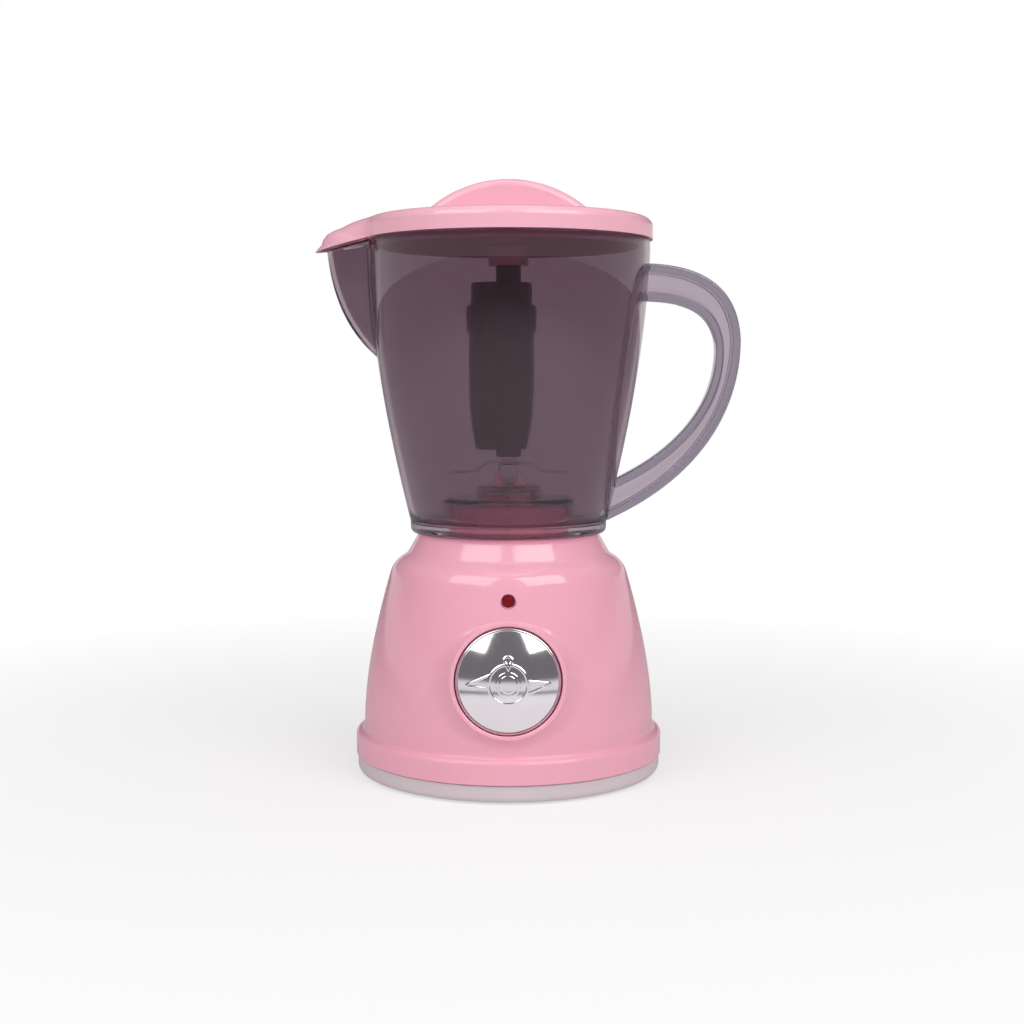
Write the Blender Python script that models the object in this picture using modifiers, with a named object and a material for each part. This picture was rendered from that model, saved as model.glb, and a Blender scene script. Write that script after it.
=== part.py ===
"""A toy countertop blender with a battery drive, as separate named pieces.

Metres, +Z up, front towards -Y. The origin lies on the floor, on the vertical axis that the base,
the jar, the lid and the drive share. The handle points to +X and the spout to -X.
"""

import math

import bmesh
import bpy
from mathutils import Matrix, Vector

# Shared fits
TOUCH_GAP = 0.0003
RUNNING_GAP = 0.0001
CUT_OVERRUN = 0.002
MERGE = 0.00001
ROUND_STEPS = 36
SMALL_STEPS = 20
SHARP_ANGLE = math.radians(32)
FLAT_ANGLE = math.radians(0.2)
UP = Vector((0, 0, 1))

# Base shell: a bell with a conical neck, a flange at its foot and a drive boss on its deck
SEAM_HEIGHT = 0.0076
FLANGE_RADIUS = 0.0614
FLANGE_HEIGHT = 0.0089
FLANGE_TOP = SEAM_HEIGHT + FLANGE_HEIGHT
FLANGE_ROUND = 0.0014
FLANGE_STEP = 0.0034
BELL_FOOT_RADIUS = FLANGE_RADIUS - FLANGE_STEP
BELL_FOOT_RISE = 0.0025
BELL_FOOT_HEIGHT = FLANGE_TOP + BELL_FOOT_RISE
BELL_DRAW_IN = 0.0101
BELL_TOP_RADIUS = BELL_FOOT_RADIUS - BELL_DRAW_IN
BELL_RISE = 0.0590
BELL_TOP_HEIGHT = BELL_FOOT_HEIGHT + BELL_RISE
BELL_SWELL = 0.0002
BELL_SWELL_RADIUS = BELL_FOOT_RADIUS + BELL_SWELL
BELL_SWELL_SHARE = 0.39
BELL_SWELL_HEIGHT = BELL_FOOT_HEIGHT + BELL_RISE * BELL_SWELL_SHARE
SHOULDER_STEP = 0.0059
SHOULDER_RADIUS = BELL_TOP_RADIUS - SHOULDER_STEP
SHOULDER_RISE = 0.0083
SHOULDER_HEIGHT = BELL_TOP_HEIGHT + SHOULDER_RISE
SHOULDER_SWELL_INSET = 0.0011
SHOULDER_SWELL_RADIUS = BELL_TOP_RADIUS - SHOULDER_SWELL_INSET
SHOULDER_FALL = 0.0029
SHOULDER_SWELL_HEIGHT = SHOULDER_HEIGHT - SHOULDER_FALL
NECK_STEP = 0.0020
NECK_RADIUS = SHOULDER_RADIUS - NECK_STEP
NECK_FOOT_RISE = 0.0019
NECK_FOOT_HEIGHT = SHOULDER_HEIGHT + NECK_FOOT_RISE
NECK_CREASE = 0.0006
NECK_RISE = 0.0071
DECK_HEIGHT = NECK_FOOT_HEIGHT + NECK_RISE
NECK_TAPER = 0.0033
NECK_TOP_RADIUS = NECK_RADIUS - NECK_TAPER
DECK_ROUND = 0.0018
BASE_WALL = 0.0021
BOSS_INSET = 0.0139
BOSS_RADIUS = NECK_TOP_RADIUS - BOSS_INSET
BOSS_RISE = 0.0109
BOSS_TOP = DECK_HEIGHT + BOSS_RISE
BOSS_ROUND = 0.0025
BOSS_HOLE_RADIUS = 0.0070
BOSS_RIB_COUNT = 12
BOSS_RIB_WIDTH = 0.0012
BOSS_RIB_DEPTH = 0.0007

# Knob and its recess
KNOB_RISE = 0.0264
KNOB_HEIGHT = BELL_FOOT_HEIGHT + KNOB_RISE
KNOB_WALL_INSET = 0.0022
KNOB_WALL_RADIUS = BELL_FOOT_RADIUS - KNOB_WALL_INSET
KNOB_TILT = math.radians(9.5)
KNOB_RADIUS = 0.0197
KNOB_SIDE_GAP = 0.0005
KNOB_SUNK = 0.0010
KNOB_DOME = 0.0032
KNOB_SKIRT = 0.0045
KNOB_RIM_WIDTH = 0.0007
KNOB_RIM_STEP = 0.0004
KNOB_SHELL = 0.0016
KNOB_PAD_WIDTH = 0.0024
KNOB_PAD_ROUND = 0.0020
RECESS_DEPTH = 0.0080
RECESS_FLOOR = 0.0020
KNOB_SHAFT_RADIUS = 0.0030
KNOB_SOCKET_WALL = 0.0018
KNOB_SHAFT_HOLE_RADIUS = 0.0045
EMBLEM_DROP = 0.0011
RING_RADIUS = 0.0079
RING_WIDTH = 0.0012
RING_HEIGHT = 0.0009
HUB_STEP_RADIUS = 0.0047
HUB_STEP_HEIGHT = 0.0006
WING_REACH = 0.0160
WING_WIDTH = 0.0068
WING_HEIGHT = 0.0007
POINTER_RADIUS = 0.0020
POINTER_REACH = 0.0077
POINTER_LOW = 0.0034
POINTER_HEIGHT = 0.0013
RELIEF_ROOT = 0.0016
SWITCH_RADIUS = 0.0085
SWITCH_DEPTH = 0.0070
SWITCH_FLANGE_RADIUS = 0.0112
SWITCH_FLANGE = 0.0012

# Lamp
LAMP_DROP = 0.0040
LAMP_HEIGHT = BELL_TOP_HEIGHT - LAMP_DROP
LAMP_HOLE_RADIUS = 0.0029
LAMP_RADIUS = 0.0024
LAMP_FLANGE_RADIUS = 0.0028
LAMP_FLANGE = 0.0010
LAMP_LENGTH = 0.0070
LAMP_SUNK = 0.0012
LAMP_WALL_SWELL = 0.0012
LAMP_WALL_RADIUS = BELL_TOP_RADIUS + LAMP_WALL_SWELL
HOLDER_RADIUS = 0.0042
HOLDER_LENGTH = 0.0035
BOARD_WIDTH = 0.0240
BOARD_HEIGHT = 0.0130
BOARD_THICKNESS = 0.0016

# Base plate, feet and case screws
PLATE_INSET = 0.0006
PLATE_RADIUS = FLANGE_RADIUS - PLATE_INSET
PLATE_BOTTOM = 0.0008
PLATE_ROUND = 0.0036
PLATE_WALL = 0.0020
PLATE_LIP_HEIGHT = 0.0044
PLATE_LIP_WALL = 0.0016
FOOT_RADIUS = 0.0034
FOOT_TAPER = 0.0006
FOOT_INSET = 0.0073
FOOT_CIRCLE = PLATE_RADIUS - FOOT_INSET
CASE_SCREW_INSET = 0.0078
CASE_SCREW_CIRCLE = PLATE_RADIUS - CASE_SCREW_INSET
CASE_SCREW_ANGLES = tuple(math.radians(angle) for angle in (30, 150, 210, 330))
CASE_POST_RADIUS = 0.0034
CASE_POST_RISE = 0.0080
CASE_POST_TOP = BELL_FOOT_HEIGHT + CASE_POST_RISE
SCREW_RADIUS = 0.0012
SCREW_HEAD_RADIUS = 0.0026
SCREW_HEAD = 0.0014
CASE_SCREW_LENGTH = 0.0120
SCREW_CLEARANCE = 0.0004

# Battery bay, batteries, contacts and door
CELL_RADIUS = 0.00725
CELL_LENGTH = 0.0492
CELL_NUB_RADIUS = 0.00275
CELL_NUB = 0.0013
CELL_ROUND = 0.0008
CELL_GAP = 0.0009
CELL_SIDE_GAP = 0.0005
BAY_WALL = 0.0016
BAY_END_SPACE = 0.0035
BAY_FRONT = 0.0058
CONTACT_THICKNESS = 0.0004
CONTACT_WIDTH = 0.0100
CONTACT_HEIGHT = 0.0110
SPRING_WIRE_RADIUS = 0.0004
SPRING_WIDE_RADIUS = 0.0042
SPRING_NARROW_RADIUS = 0.0024
SPRING_TURNS = 3
SPRING_POINTS_PER_TURN = 8
DOOR_THICKNESS = 0.0017
DOOR_LEDGE = 0.0026
DOOR_GAP = 0.0003
DOOR_TAB_HALF_WIDTH = 0.0058
DOOR_TAB_REACH = 0.0085
DOOR_FRAME_WALL = 0.0016
DOOR_FRAME_HEIGHT = 0.0050
DOOR_POST_RADIUS = 0.0036
DOOR_POST_HEIGHT = 0.0110
DOOR_SCREW_LENGTH = 0.0080

# Gear train
MODULE = 0.0007
PINION_TEETH = 12
WHEEL_TEETH = 36
PRESSURE_ANGLE = math.radians(20)
ADDENDUM_SHARE = 0.80
DEDENDUM_SHARE = 1.15
BACKLASH = 0.00016
IDLER_ANGLE = math.radians(125)
MOTOR_ANGLE = math.radians(55)
GEAR_DROP = 0.0353
GEAR_FLOOR = DECK_HEIGHT - GEAR_DROP
GEAR_END_GAP = 0.0008
WHEEL_WIDTH = 0.0042
PINION_WIDTH = 0.0050
WHEEL_RIM = 0.0022
WHEEL_WEB = 0.0016
WHEEL_HUB_RADIUS = 0.0054
DRIVE_SHAFT_RADIUS = 0.0025
IDLER_PIN_RADIUS = 0.0012
MOTOR_SHAFT_RADIUS = 0.0010

# Gearbox case
CASE_FLOOR = 0.0020
CASE_WALL = 0.0016
CASE_ROOF = 0.0020
CASE_CLEARANCE = 0.0014
EAR_RADIUS = 0.0042
EAR_PLACES = ((0.0205, -0.0080), (-0.0205, -0.0080), (0.0130, 0.0285))
GEAR_SCREW_LENGTH = 0.0250
GEAR_POST_RADIUS = 0.0036

# Motor
MOTOR_RADIUS = 0.0100
MOTOR_FLAT = 0.0076
MOTOR_CAN_LENGTH = 0.0200
MOTOR_CAP_LENGTH = 0.0048
MOTOR_CAP_INSET = 0.0007
MOTOR_NOSE_RADIUS = 0.0031
MOTOR_NOSE = 0.0015
MOTOR_SHAFT_DEPTH = 0.0060
MOTOR_TERMINAL = 0.0040
MOTOR_TERMINAL_WIDTH = 0.0022
MOTOR_TERMINAL_THICKNESS = 0.0005
MOTOR_TERMINAL_PLACE = 0.0062

# Drive coupling
COUPLING_RADIUS = 0.0090
COUPLING_DISC = 0.0015
DOG_COUNT = 3
DOG_INNER_RADIUS = 0.0048
DOG_OUTER_RADIUS = 0.0085
DOG_HEIGHT = 0.0021
DOG_ANGLE = math.radians(50)
DRIVE_BUSH_FLANGE = 0.0012
DRIVE_BUSH_FLANGE_RADIUS = 0.0090

# Jar
JAR_BOTTOM = DECK_HEIGHT + TOUCH_GAP
JAR_HEIGHT = 0.1153
JAR_TOP = JAR_BOTTOM + JAR_HEIGHT
JAR_TOP_RADIUS = 0.0560
JAR_BEAD_DROP = 0.0039
JAR_BEAD_HEIGHT = JAR_TOP - JAR_BEAD_DROP
JAR_SWELL_INSET = 0.0017
JAR_SWELL_RADIUS = JAR_TOP_RADIUS - JAR_SWELL_INSET
JAR_SWELL_DROP = 0.0499
JAR_SWELL_HEIGHT = JAR_TOP - JAR_SWELL_DROP
JAR_FOOT_INSET = 0.0008
JAR_FOOT_RADIUS = NECK_RADIUS - JAR_FOOT_INSET
JAR_FOOT_ROUND = 0.0048
JAR_FOOT_HEIGHT = JAR_BOTTOM + JAR_FOOT_ROUND
JAR_RIM_ROUND = 0.0006
JAR_WALL = 0.0021
JAR_FLOOR = 0.0020
JAR_FOOT_RING = 0.0030
JAR_FOOT_RECESS = 0.0022
WELL_GAP = 0.0014
WELL_HEADROOM = 0.0016
WELL_ROUND = 0.0022
STEP_GAP = 0.0017
STEP_HEIGHT = 0.0046
BUSH_HOLE_RADIUS = 0.0048

# Spout
SPOUT_FOOT_INSET = 0.0036
SPOUT_FOOT_REACH = JAR_TOP_RADIUS - SPOUT_FOOT_INSET
SPOUT_FOOT_DROP = 0.0454
SPOUT_FOOT_HEIGHT = JAR_TOP - SPOUT_FOOT_DROP
SPOUT_BELLY = 0.0140
SPOUT_BELLY_REACH = JAR_TOP_RADIUS + SPOUT_BELLY
SPOUT_BELLY_DROP = 0.0309
SPOUT_BELLY_HEIGHT = JAR_TOP - SPOUT_BELLY_DROP
SPOUT_OVERHANG = 0.0160
SPOUT_TIP_REACH = JAR_TOP_RADIUS + SPOUT_OVERHANG
SPOUT_TIP_DROP = 0.0009
SPOUT_TIP_HEIGHT = JAR_TOP - SPOUT_TIP_DROP
SPOUT_HALF_WIDTH = 0.0185
SPOUT_FOOT_HALF_WIDTH = 0.0080
SPOUT_WALL = 0.0018
SPOUT_MOUTH_STEP = 0.0005
SPOUT_MOUTH_DROP = 0.0032
SPOUT_LEVELS = 8
SPOUT_SIDES = 10

# Handle, drawn in the XZ plane
HANDLE_TOP_OUTER = ((0.0500, 0.2022), (0.0660, 0.2022), (0.0905, 0.2000), (0.0920, 0.1720))
HANDLE_LOW_OUTER = ((0.0920, 0.1720), (0.0920, 0.1400), (0.0720, 0.1140), (0.0360, 0.0990))
HANDLE_TOP_INNER = ((0.0500, 0.1874), (0.0660, 0.1874), (0.0815, 0.1860), (0.0822, 0.1680))
HANDLE_LOW_INNER = ((0.0822, 0.1680), (0.0820, 0.1460), (0.0670, 0.1270), (0.0370, 0.1145))
HANDLE_RAIL_WIDTH = 0.0034
HANDLE_RAIL_DEPTH = 0.0090
HANDLE_WEB_DEPTH = 0.0022
HANDLE_STEPS = 9
PAD_HALF_WIDTH = 0.0054
PAD_DEPTH = 0.0012
PAD_OVERHANG = 0.0007

# Lid
LID_OVERHANG = 0.0009
LID_RADIUS = JAR_TOP_RADIUS + LID_OVERHANG
LID_CORNER_ROUND = 0.0038
LID_RISE = 0.0087
LID_EDGE_TOP = JAR_TOP + LID_RISE
LID_DOME = 0.0026
LID_DOME_TOP = LID_EDGE_TOP + LID_DOME
LID_WALL = 0.0020
PLUG_GAP = 0.0006
PLUG_WALL = 0.0018
PLUG_DEPTH = 0.0031
LID_BOSS_RADIUS = 0.0062
LID_SOCKET_RADIUS = 0.0080
LID_SOCKET_LENGTH = 0.0076
LID_SOCKET_DROP = 0.0097
LID_SOCKET_BOTTOM = JAR_TOP - LID_SOCKET_DROP
LID_SOCKET_TOP = LID_SOCKET_BOTTOM + LID_SOCKET_LENGTH
LID_SOCKET_DEPTH = 0.0110
FIN_RISE = 0.0152
FIN_TOP = LID_EDGE_TOP + FIN_RISE
FIN_RADIUS = 0.0484
FIN_THICKNESS = 0.0130
FIN_ROUND = 0.0032
FIN_STEPS = 20
BEAK_ROOT_INSET = 0.0039
BEAK_ROOT_REACH = LID_RADIUS - BEAK_ROOT_INSET
BEAK_ROOT_DROP = 0.0002
BEAK_ROOT_HEIGHT = LID_EDGE_TOP - BEAK_ROOT_DROP
BEAK_BROW = 0.0101
BEAK_BROW_REACH = LID_RADIUS + BEAK_BROW
BEAK_BROW_DROP = 0.0003
BEAK_BROW_HEIGHT = LID_EDGE_TOP - BEAK_BROW_DROP
BEAK_LENGTH = 0.0206
BEAK_TIP_REACH = LID_RADIUS + BEAK_LENGTH
BEAK_TIP_DROP = 0.0146
BEAK_TIP_HEIGHT = LID_EDGE_TOP - BEAK_TIP_DROP
BEAK_WALL = 0.0018
BEAK_HALF_WIDTH = 0.0225
BEAK_SIDE_GAP = 0.0006
BEAK_EDGE_GAP = 0.0001
BEAK_EDGE_REACH = LID_RADIUS + BEAK_EDGE_GAP
BEAK_EDGE_RISE = 0.0015
BEAK_EDGE_HEIGHT = JAR_TOP + BEAK_EDGE_RISE
BEAK_EDGE_SLOPE = math.radians(17.4)
BEAK_HOLLOW_SHARE = 0.72

# Rod and strainer under the lid
ROD_RADIUS = 0.0050
ROD_END_GAP = 0.0010
ROD_ROUND = 0.0010
ROD_STOP_RADIUS = 0.0076
ROD_STOP_THICKNESS = 0.0018
SLEEVE_OFFSET = -0.0028
SLEEVE_NECK_RADIUS = 0.0122
SLEEVE_DROP = 0.0067
SLEEVE_NECK_TOP = LID_SOCKET_BOTTOM - SLEEVE_DROP
SLEEVE_NECK_LENGTH = 0.0087
SLEEVE_COLLAR_TOP = SLEEVE_NECK_TOP - SLEEVE_NECK_LENGTH
SLEEVE_COLLAR_RADIUS = 0.0140
SLEEVE_COLLAR_ROUND = 0.0022
SLEEVE_COLLAR_LENGTH = 0.0110
SLEEVE_COLLAR_BOTTOM = SLEEVE_COLLAR_TOP - SLEEVE_COLLAR_LENGTH
SLEEVE_BASKET_RADIUS = 0.0128
SLEEVE_BELLY_RADIUS = 0.0142
SLEEVE_BELLY_DROP = 0.0318
SLEEVE_BELLY_HEIGHT = SLEEVE_COLLAR_BOTTOM - SLEEVE_BELLY_DROP
SLEEVE_FOOT_RADIUS = 0.0100
SLEEVE_BASKET_LENGTH = 0.0458
SLEEVE_BOTTOM = SLEEVE_COLLAR_BOTTOM - SLEEVE_BASKET_LENGTH
SLEEVE_WALL = 0.0013
SLEEVE_LEDGE = 0.0016
SLEEVE_ROD_GAP = 0.0004

# Blades
HUB_RADIUS = 0.0072
HUB_DISC = 0.0011
HUB_GAP = 0.0003
CAP_RADIUS = 0.0054
CAP_HEIGHT = 0.0051
HUB_PIN_RADIUS = 0.0020
HUB_SHOULDER_RADIUS = 0.0030
HUB_PIN_HEAD_RADIUS = 0.0032
HUB_PIN_HEAD = 0.0007
BLADE_SHAFT_RADIUS = 0.0016
BLADE_SHAFT_REACH = 0.0022
BLADE_THICKNESS = 0.0006
BLADE_WIDTH = 0.0080
BLADE_REACH = 0.0232
UPPER_PLATEAU_HALF = 0.0088
UPPER_BEND_REACH = 0.0136
UPPER_DROP = 0.0036
LOWER_PLATEAU_HALF = 0.0066
LOWER_BEND_REACH = 0.0092
LOWER_DROP = 0.0052
LOWER_REACH = 0.0205
BLADE_STAND = 0.0029

# Colours as red, green and blue
PINK = (0.83, 0.42, 0.50)
LID_PINK = (0.86, 0.47, 0.56)
WARM_WHITE = (0.72, 0.68, 0.69)
SMOKE = (0.12, 0.10, 0.13)
DARK = (0.03, 0.015, 0.025)
CHROME = (0.80, 0.80, 0.82)
STEEL = (0.62, 0.62, 0.64)
BRASS = (0.70, 0.52, 0.22)
GREEN = (0.05, 0.22, 0.10)
RED = (0.22, 0.01, 0.02)
BLACK = (0.03, 0.03, 0.03)
NATURAL = (0.85, 0.84, 0.80)
CELL_BLUE = (0.06, 0.10, 0.28)


def clear_scene():
    for obj in list(bpy.data.objects):
        bpy.data.objects.remove(obj)


def new_collection(name):
    group = bpy.data.collections.new(name)
    bpy.context.scene.collection.children.link(group)
    return group


def material(name, colour, roughness, metallic=0.0, alpha=1.0):
    mat = bpy.data.materials.get(name)
    if mat:
        return mat
    mat = bpy.data.materials.new(name)
    mat.use_nodes = True
    mat.diffuse_color = (*colour, alpha)
    shader = mat.node_tree.nodes["Principled BSDF"]
    shader.inputs["Base Color"].default_value = (*colour, 1.0)
    shader.inputs["Roughness"].default_value = roughness
    shader.inputs["Metallic"].default_value = metallic
    shader.inputs["Alpha"].default_value = alpha
    return mat


def place_object(name, data, mat, transform=None):
    """Links a piece, or a helper where mat is None, and hides the helper from renders."""
    obj = bpy.data.objects.new(name, data)
    obj.matrix_world = transform or Matrix()
    if mat:
        data.materials.append(mat)
        PARTS.objects.link(obj)
    else:
        CUTTERS.objects.link(obj)
        obj.hide_render = True
        obj.display_type = "WIRE"
    return obj


def merge_flat(mesh):
    """Joins the faces that lie in one plane."""
    bm = bmesh.new()
    bm.from_mesh(mesh)
    bmesh.ops.dissolve_limit(bm, angle_limit=FLAT_ANGLE, verts=bm.verts, edges=bm.edges)
    bm.to_mesh(mesh)
    bm.free()


def baked(obj):
    """Replaces the object's mesh by its evaluated one, shaded smooth between its sharp edges."""
    bpy.context.view_layer.update()
    graph = bpy.context.evaluated_depsgraph_get()
    mesh = bpy.data.meshes.new_from_object(obj.evaluated_get(graph))
    obj.modifiers.clear()
    obj.data = mesh
    merge_flat(mesh)
    mesh.shade_smooth()
    mesh.set_sharp_from_angle(angle=SHARP_ANGLE)
    return obj


def turned(name, outline, mat=None, steps=ROUND_STEPS, transform=None):
    """A body turned about Z. The outline runs down its outer side, then back up inside or to the axis."""
    bm = bmesh.new()
    points = [bm.verts.new((radius, 0, height)) for radius, height in outline]
    for first, second in zip(points, points[1:]):
        bm.edges.new((first, second))
    if outline[0][0] > MERGE:
        bm.edges.new((points[-1], points[0]))
    mesh = bpy.data.meshes.new(name)
    bm.to_mesh(mesh)
    bm.free()
    obj = place_object(name, mesh, mat, transform)
    spin = obj.modifiers.new("spin", "SCREW")
    spin.axis = "Z"
    spin.angle = math.tau
    spin.steps = steps
    spin.render_steps = steps
    spin.use_merge_vertices = True
    spin.merge_threshold = MERGE
    return baked(obj)


def rod(name, radius, low, high, mat=None, steps=SMALL_STEPS, transform=None, top_radius=None):
    """A cylinder or cone from low to high on Z."""
    bm = bmesh.new()
    bmesh.ops.create_cone(
        bm, cap_ends=True, segments=steps, radius1=radius,
        radius2=radius if top_radius is None else top_radius, depth=high - low,
    )
    bmesh.ops.translate(bm, verts=bm.verts, vec=UP * (low + high) / 2)
    mesh = bpy.data.meshes.new(name)
    bm.to_mesh(mesh)
    bm.free()
    obj = place_object(name, mesh, mat, transform)
    mesh.shade_smooth()
    mesh.set_sharp_from_angle(angle=SHARP_ANGLE)
    return obj


def ring(name, inner, outer, low, high, mat=None, steps=SMALL_STEPS, transform=None):
    outline = [(outer, high), (outer, low), (inner, low), (inner, high)]
    return turned(name, outline, mat, steps, transform)


def block(name, low, high, mat=None, transform=None):
    """A box between two corners."""
    bm = bmesh.new()
    bmesh.ops.create_cube(bm, size=1)
    low, high = Vector(low), Vector(high)
    bmesh.ops.scale(bm, verts=bm.verts, vec=high - low)
    bmesh.ops.translate(bm, verts=bm.verts, vec=(low + high) / 2)
    mesh = bpy.data.meshes.new(name)
    bm.to_mesh(mesh)
    bm.free()
    return place_object(name, mesh, mat, transform)


def extruded(name, outlines, low, high, mat=None, transform=None):
    """Flat outlines, the inner ones as holes, given thickness from low to high on Z."""
    curve = bpy.data.curves.new(name, "CURVE")
    curve.dimensions = "2D"
    curve.fill_mode = "BOTH"
    curve.extrude = (high - low) / 2
    for outline in outlines:
        spline = curve.splines.new("POLY")
        spline.points.add(len(outline) - 1)
        for point, (across, along) in zip(spline.points, outline):
            point.co = (across, along, 0, 1)
        spline.use_cyclic_u = True
    flat = bpy.data.objects.new(name + "_outline", curve)
    CUTTERS.objects.link(flat)
    bpy.context.view_layer.update()
    graph = bpy.context.evaluated_depsgraph_get()
    mesh = bpy.data.meshes.new_from_object(flat.evaluated_get(graph))
    bpy.data.objects.remove(flat)
    mesh.name = name
    bm = bmesh.new()
    bm.from_mesh(mesh)
    bmesh.ops.remove_doubles(bm, verts=bm.verts, dist=MERGE)
    bmesh.ops.recalc_face_normals(bm, faces=bm.faces)
    bmesh.ops.translate(bm, verts=bm.verts, vec=UP * (low + high) / 2)
    bm.to_mesh(mesh)
    bm.free()
    merge_flat(mesh)
    return place_object(name, mesh, mat, transform)


def wire(name, points, radius, mat=None):
    """A round wire or tube along the points."""
    curve = bpy.data.curves.new(name, "CURVE")
    curve.dimensions = "3D"
    curve.bevel_depth = radius
    curve.bevel_resolution = 1
    curve.use_fill_caps = True
    spline = curve.splines.new("POLY")
    spline.points.add(len(points) - 1)
    for point, place in zip(spline.points, points):
        point.co = (*place, 1)
    return place_object(name, curve, mat)


def loft(name, sections, mat=None):
    """A closed skin over loops of equal length, capped at both ends."""
    bm = bmesh.new()
    loops = [[bm.verts.new(point) for point in section] for section in sections]
    for lower, upper in zip(loops, loops[1:]):
        for index, start in enumerate(lower):
            after = (index + 1) % len(lower)
            bm.faces.new((start, lower[after], upper[after], upper[index]))
    bm.faces.new(loops[0][::-1])
    bm.faces.new(loops[-1])
    bmesh.ops.recalc_face_normals(bm, faces=bm.faces)
    mesh = bpy.data.meshes.new(name)
    bm.to_mesh(mesh)
    bm.free()
    return place_object(name, mesh, mat)


def combine(target, other, operation):
    step = target.modifiers.new(f"{operation.lower()}_{other.name}", "BOOLEAN")
    step.object = other
    step.operation = operation
    step.solver = "EXACT"


def join(target, *others):
    for other in others:
        combine(target, other, "UNION")


def cut(target, *others):
    for other in others:
        combine(target, other, "DIFFERENCE")


def arc(centre, radius, start, end, steps):
    """Points along an arc, angles in degrees from the outward direction."""
    points = []
    for index in range(steps + 1):
        angle = math.radians(start + (end - start) * index / steps)
        points.append((centre[0] + radius * math.cos(angle), centre[1] + radius * math.sin(angle)))
    return points


def bend(start, control, end, steps):
    """Points along a quadratic curve, both ends included."""
    points = []
    for index in range(steps + 1):
        share = index / steps
        rest = 1 - share
        points.append(tuple(
            rest * rest * a + 2 * rest * share * b + share * share * c
            for a, b, c in zip(start, control, end)
        ))
    return points


def cubic(corners, steps):
    """Points along a cubic curve through the first and last of four corners."""
    points = []
    for index in range(steps + 1):
        share = index / steps
        rest = 1 - share
        weights = (rest**3, 3 * rest * rest * share, 3 * rest * share * share, share**3)
        points.append(tuple(
            sum(weight * corner[axis] for weight, corner in zip(weights, corners))
            for axis in range(2)
        ))
    return points


def circle(centre, radius, steps=SMALL_STEPS, turn=0.0):
    return [
        (
            centre[0] + radius * math.cos(turn + math.tau * index / steps),
            centre[1] + radius * math.sin(turn + math.tau * index / steps),
        )
        for index in range(steps)
    ]


def hull(points):
    """The convex outline round the points."""
    ordered = sorted(set(points))

    def half(run):
        line = []
        for point in run:
            while len(line) > 1:
                (ax, ay), (bx, by) = line[-2:]
                if (bx - ax) * (point[1] - ay) - (by - ay) * (point[0] - ax) > 0:
                    break
                line.pop()
            line.append(point)
        return line[:-1]

    return half(ordered) + half(ordered[::-1])


def shift_rotation(place, turn=0.0):
    return Matrix.Translation((place[0], place[1], 0)) @ Matrix.Rotation(turn, 4, "Z")


def bell_outer():
    """The outer side of the base from the deck's edge down to the seam."""
    points = arc((NECK_TOP_RADIUS - DECK_ROUND, DECK_HEIGHT - DECK_ROUND), DECK_ROUND, 90, 30, 2)
    points += bend(
        (NECK_RADIUS, NECK_FOOT_HEIGHT),
        (NECK_RADIUS + NECK_CREASE, SHOULDER_HEIGHT + NECK_CREASE),
        (SHOULDER_RADIUS, SHOULDER_HEIGHT),
        2,
    )
    points += bend(
        (SHOULDER_RADIUS, SHOULDER_HEIGHT),
        (SHOULDER_SWELL_RADIUS, SHOULDER_SWELL_HEIGHT),
        (BELL_TOP_RADIUS, BELL_TOP_HEIGHT),
        4,
    )[1:]
    points += bend(
        (BELL_TOP_RADIUS, BELL_TOP_HEIGHT),
        (BELL_SWELL_RADIUS, BELL_SWELL_HEIGHT),
        (BELL_FOOT_RADIUS, BELL_FOOT_HEIGHT),
        5,
    )[1:]
    points += arc(
        (FLANGE_RADIUS - FLANGE_ROUND, FLANGE_TOP - FLANGE_ROUND), FLANGE_ROUND, 90, 0, 2
    )
    points.append((FLANGE_RADIUS, SEAM_HEIGHT))
    return points


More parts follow.
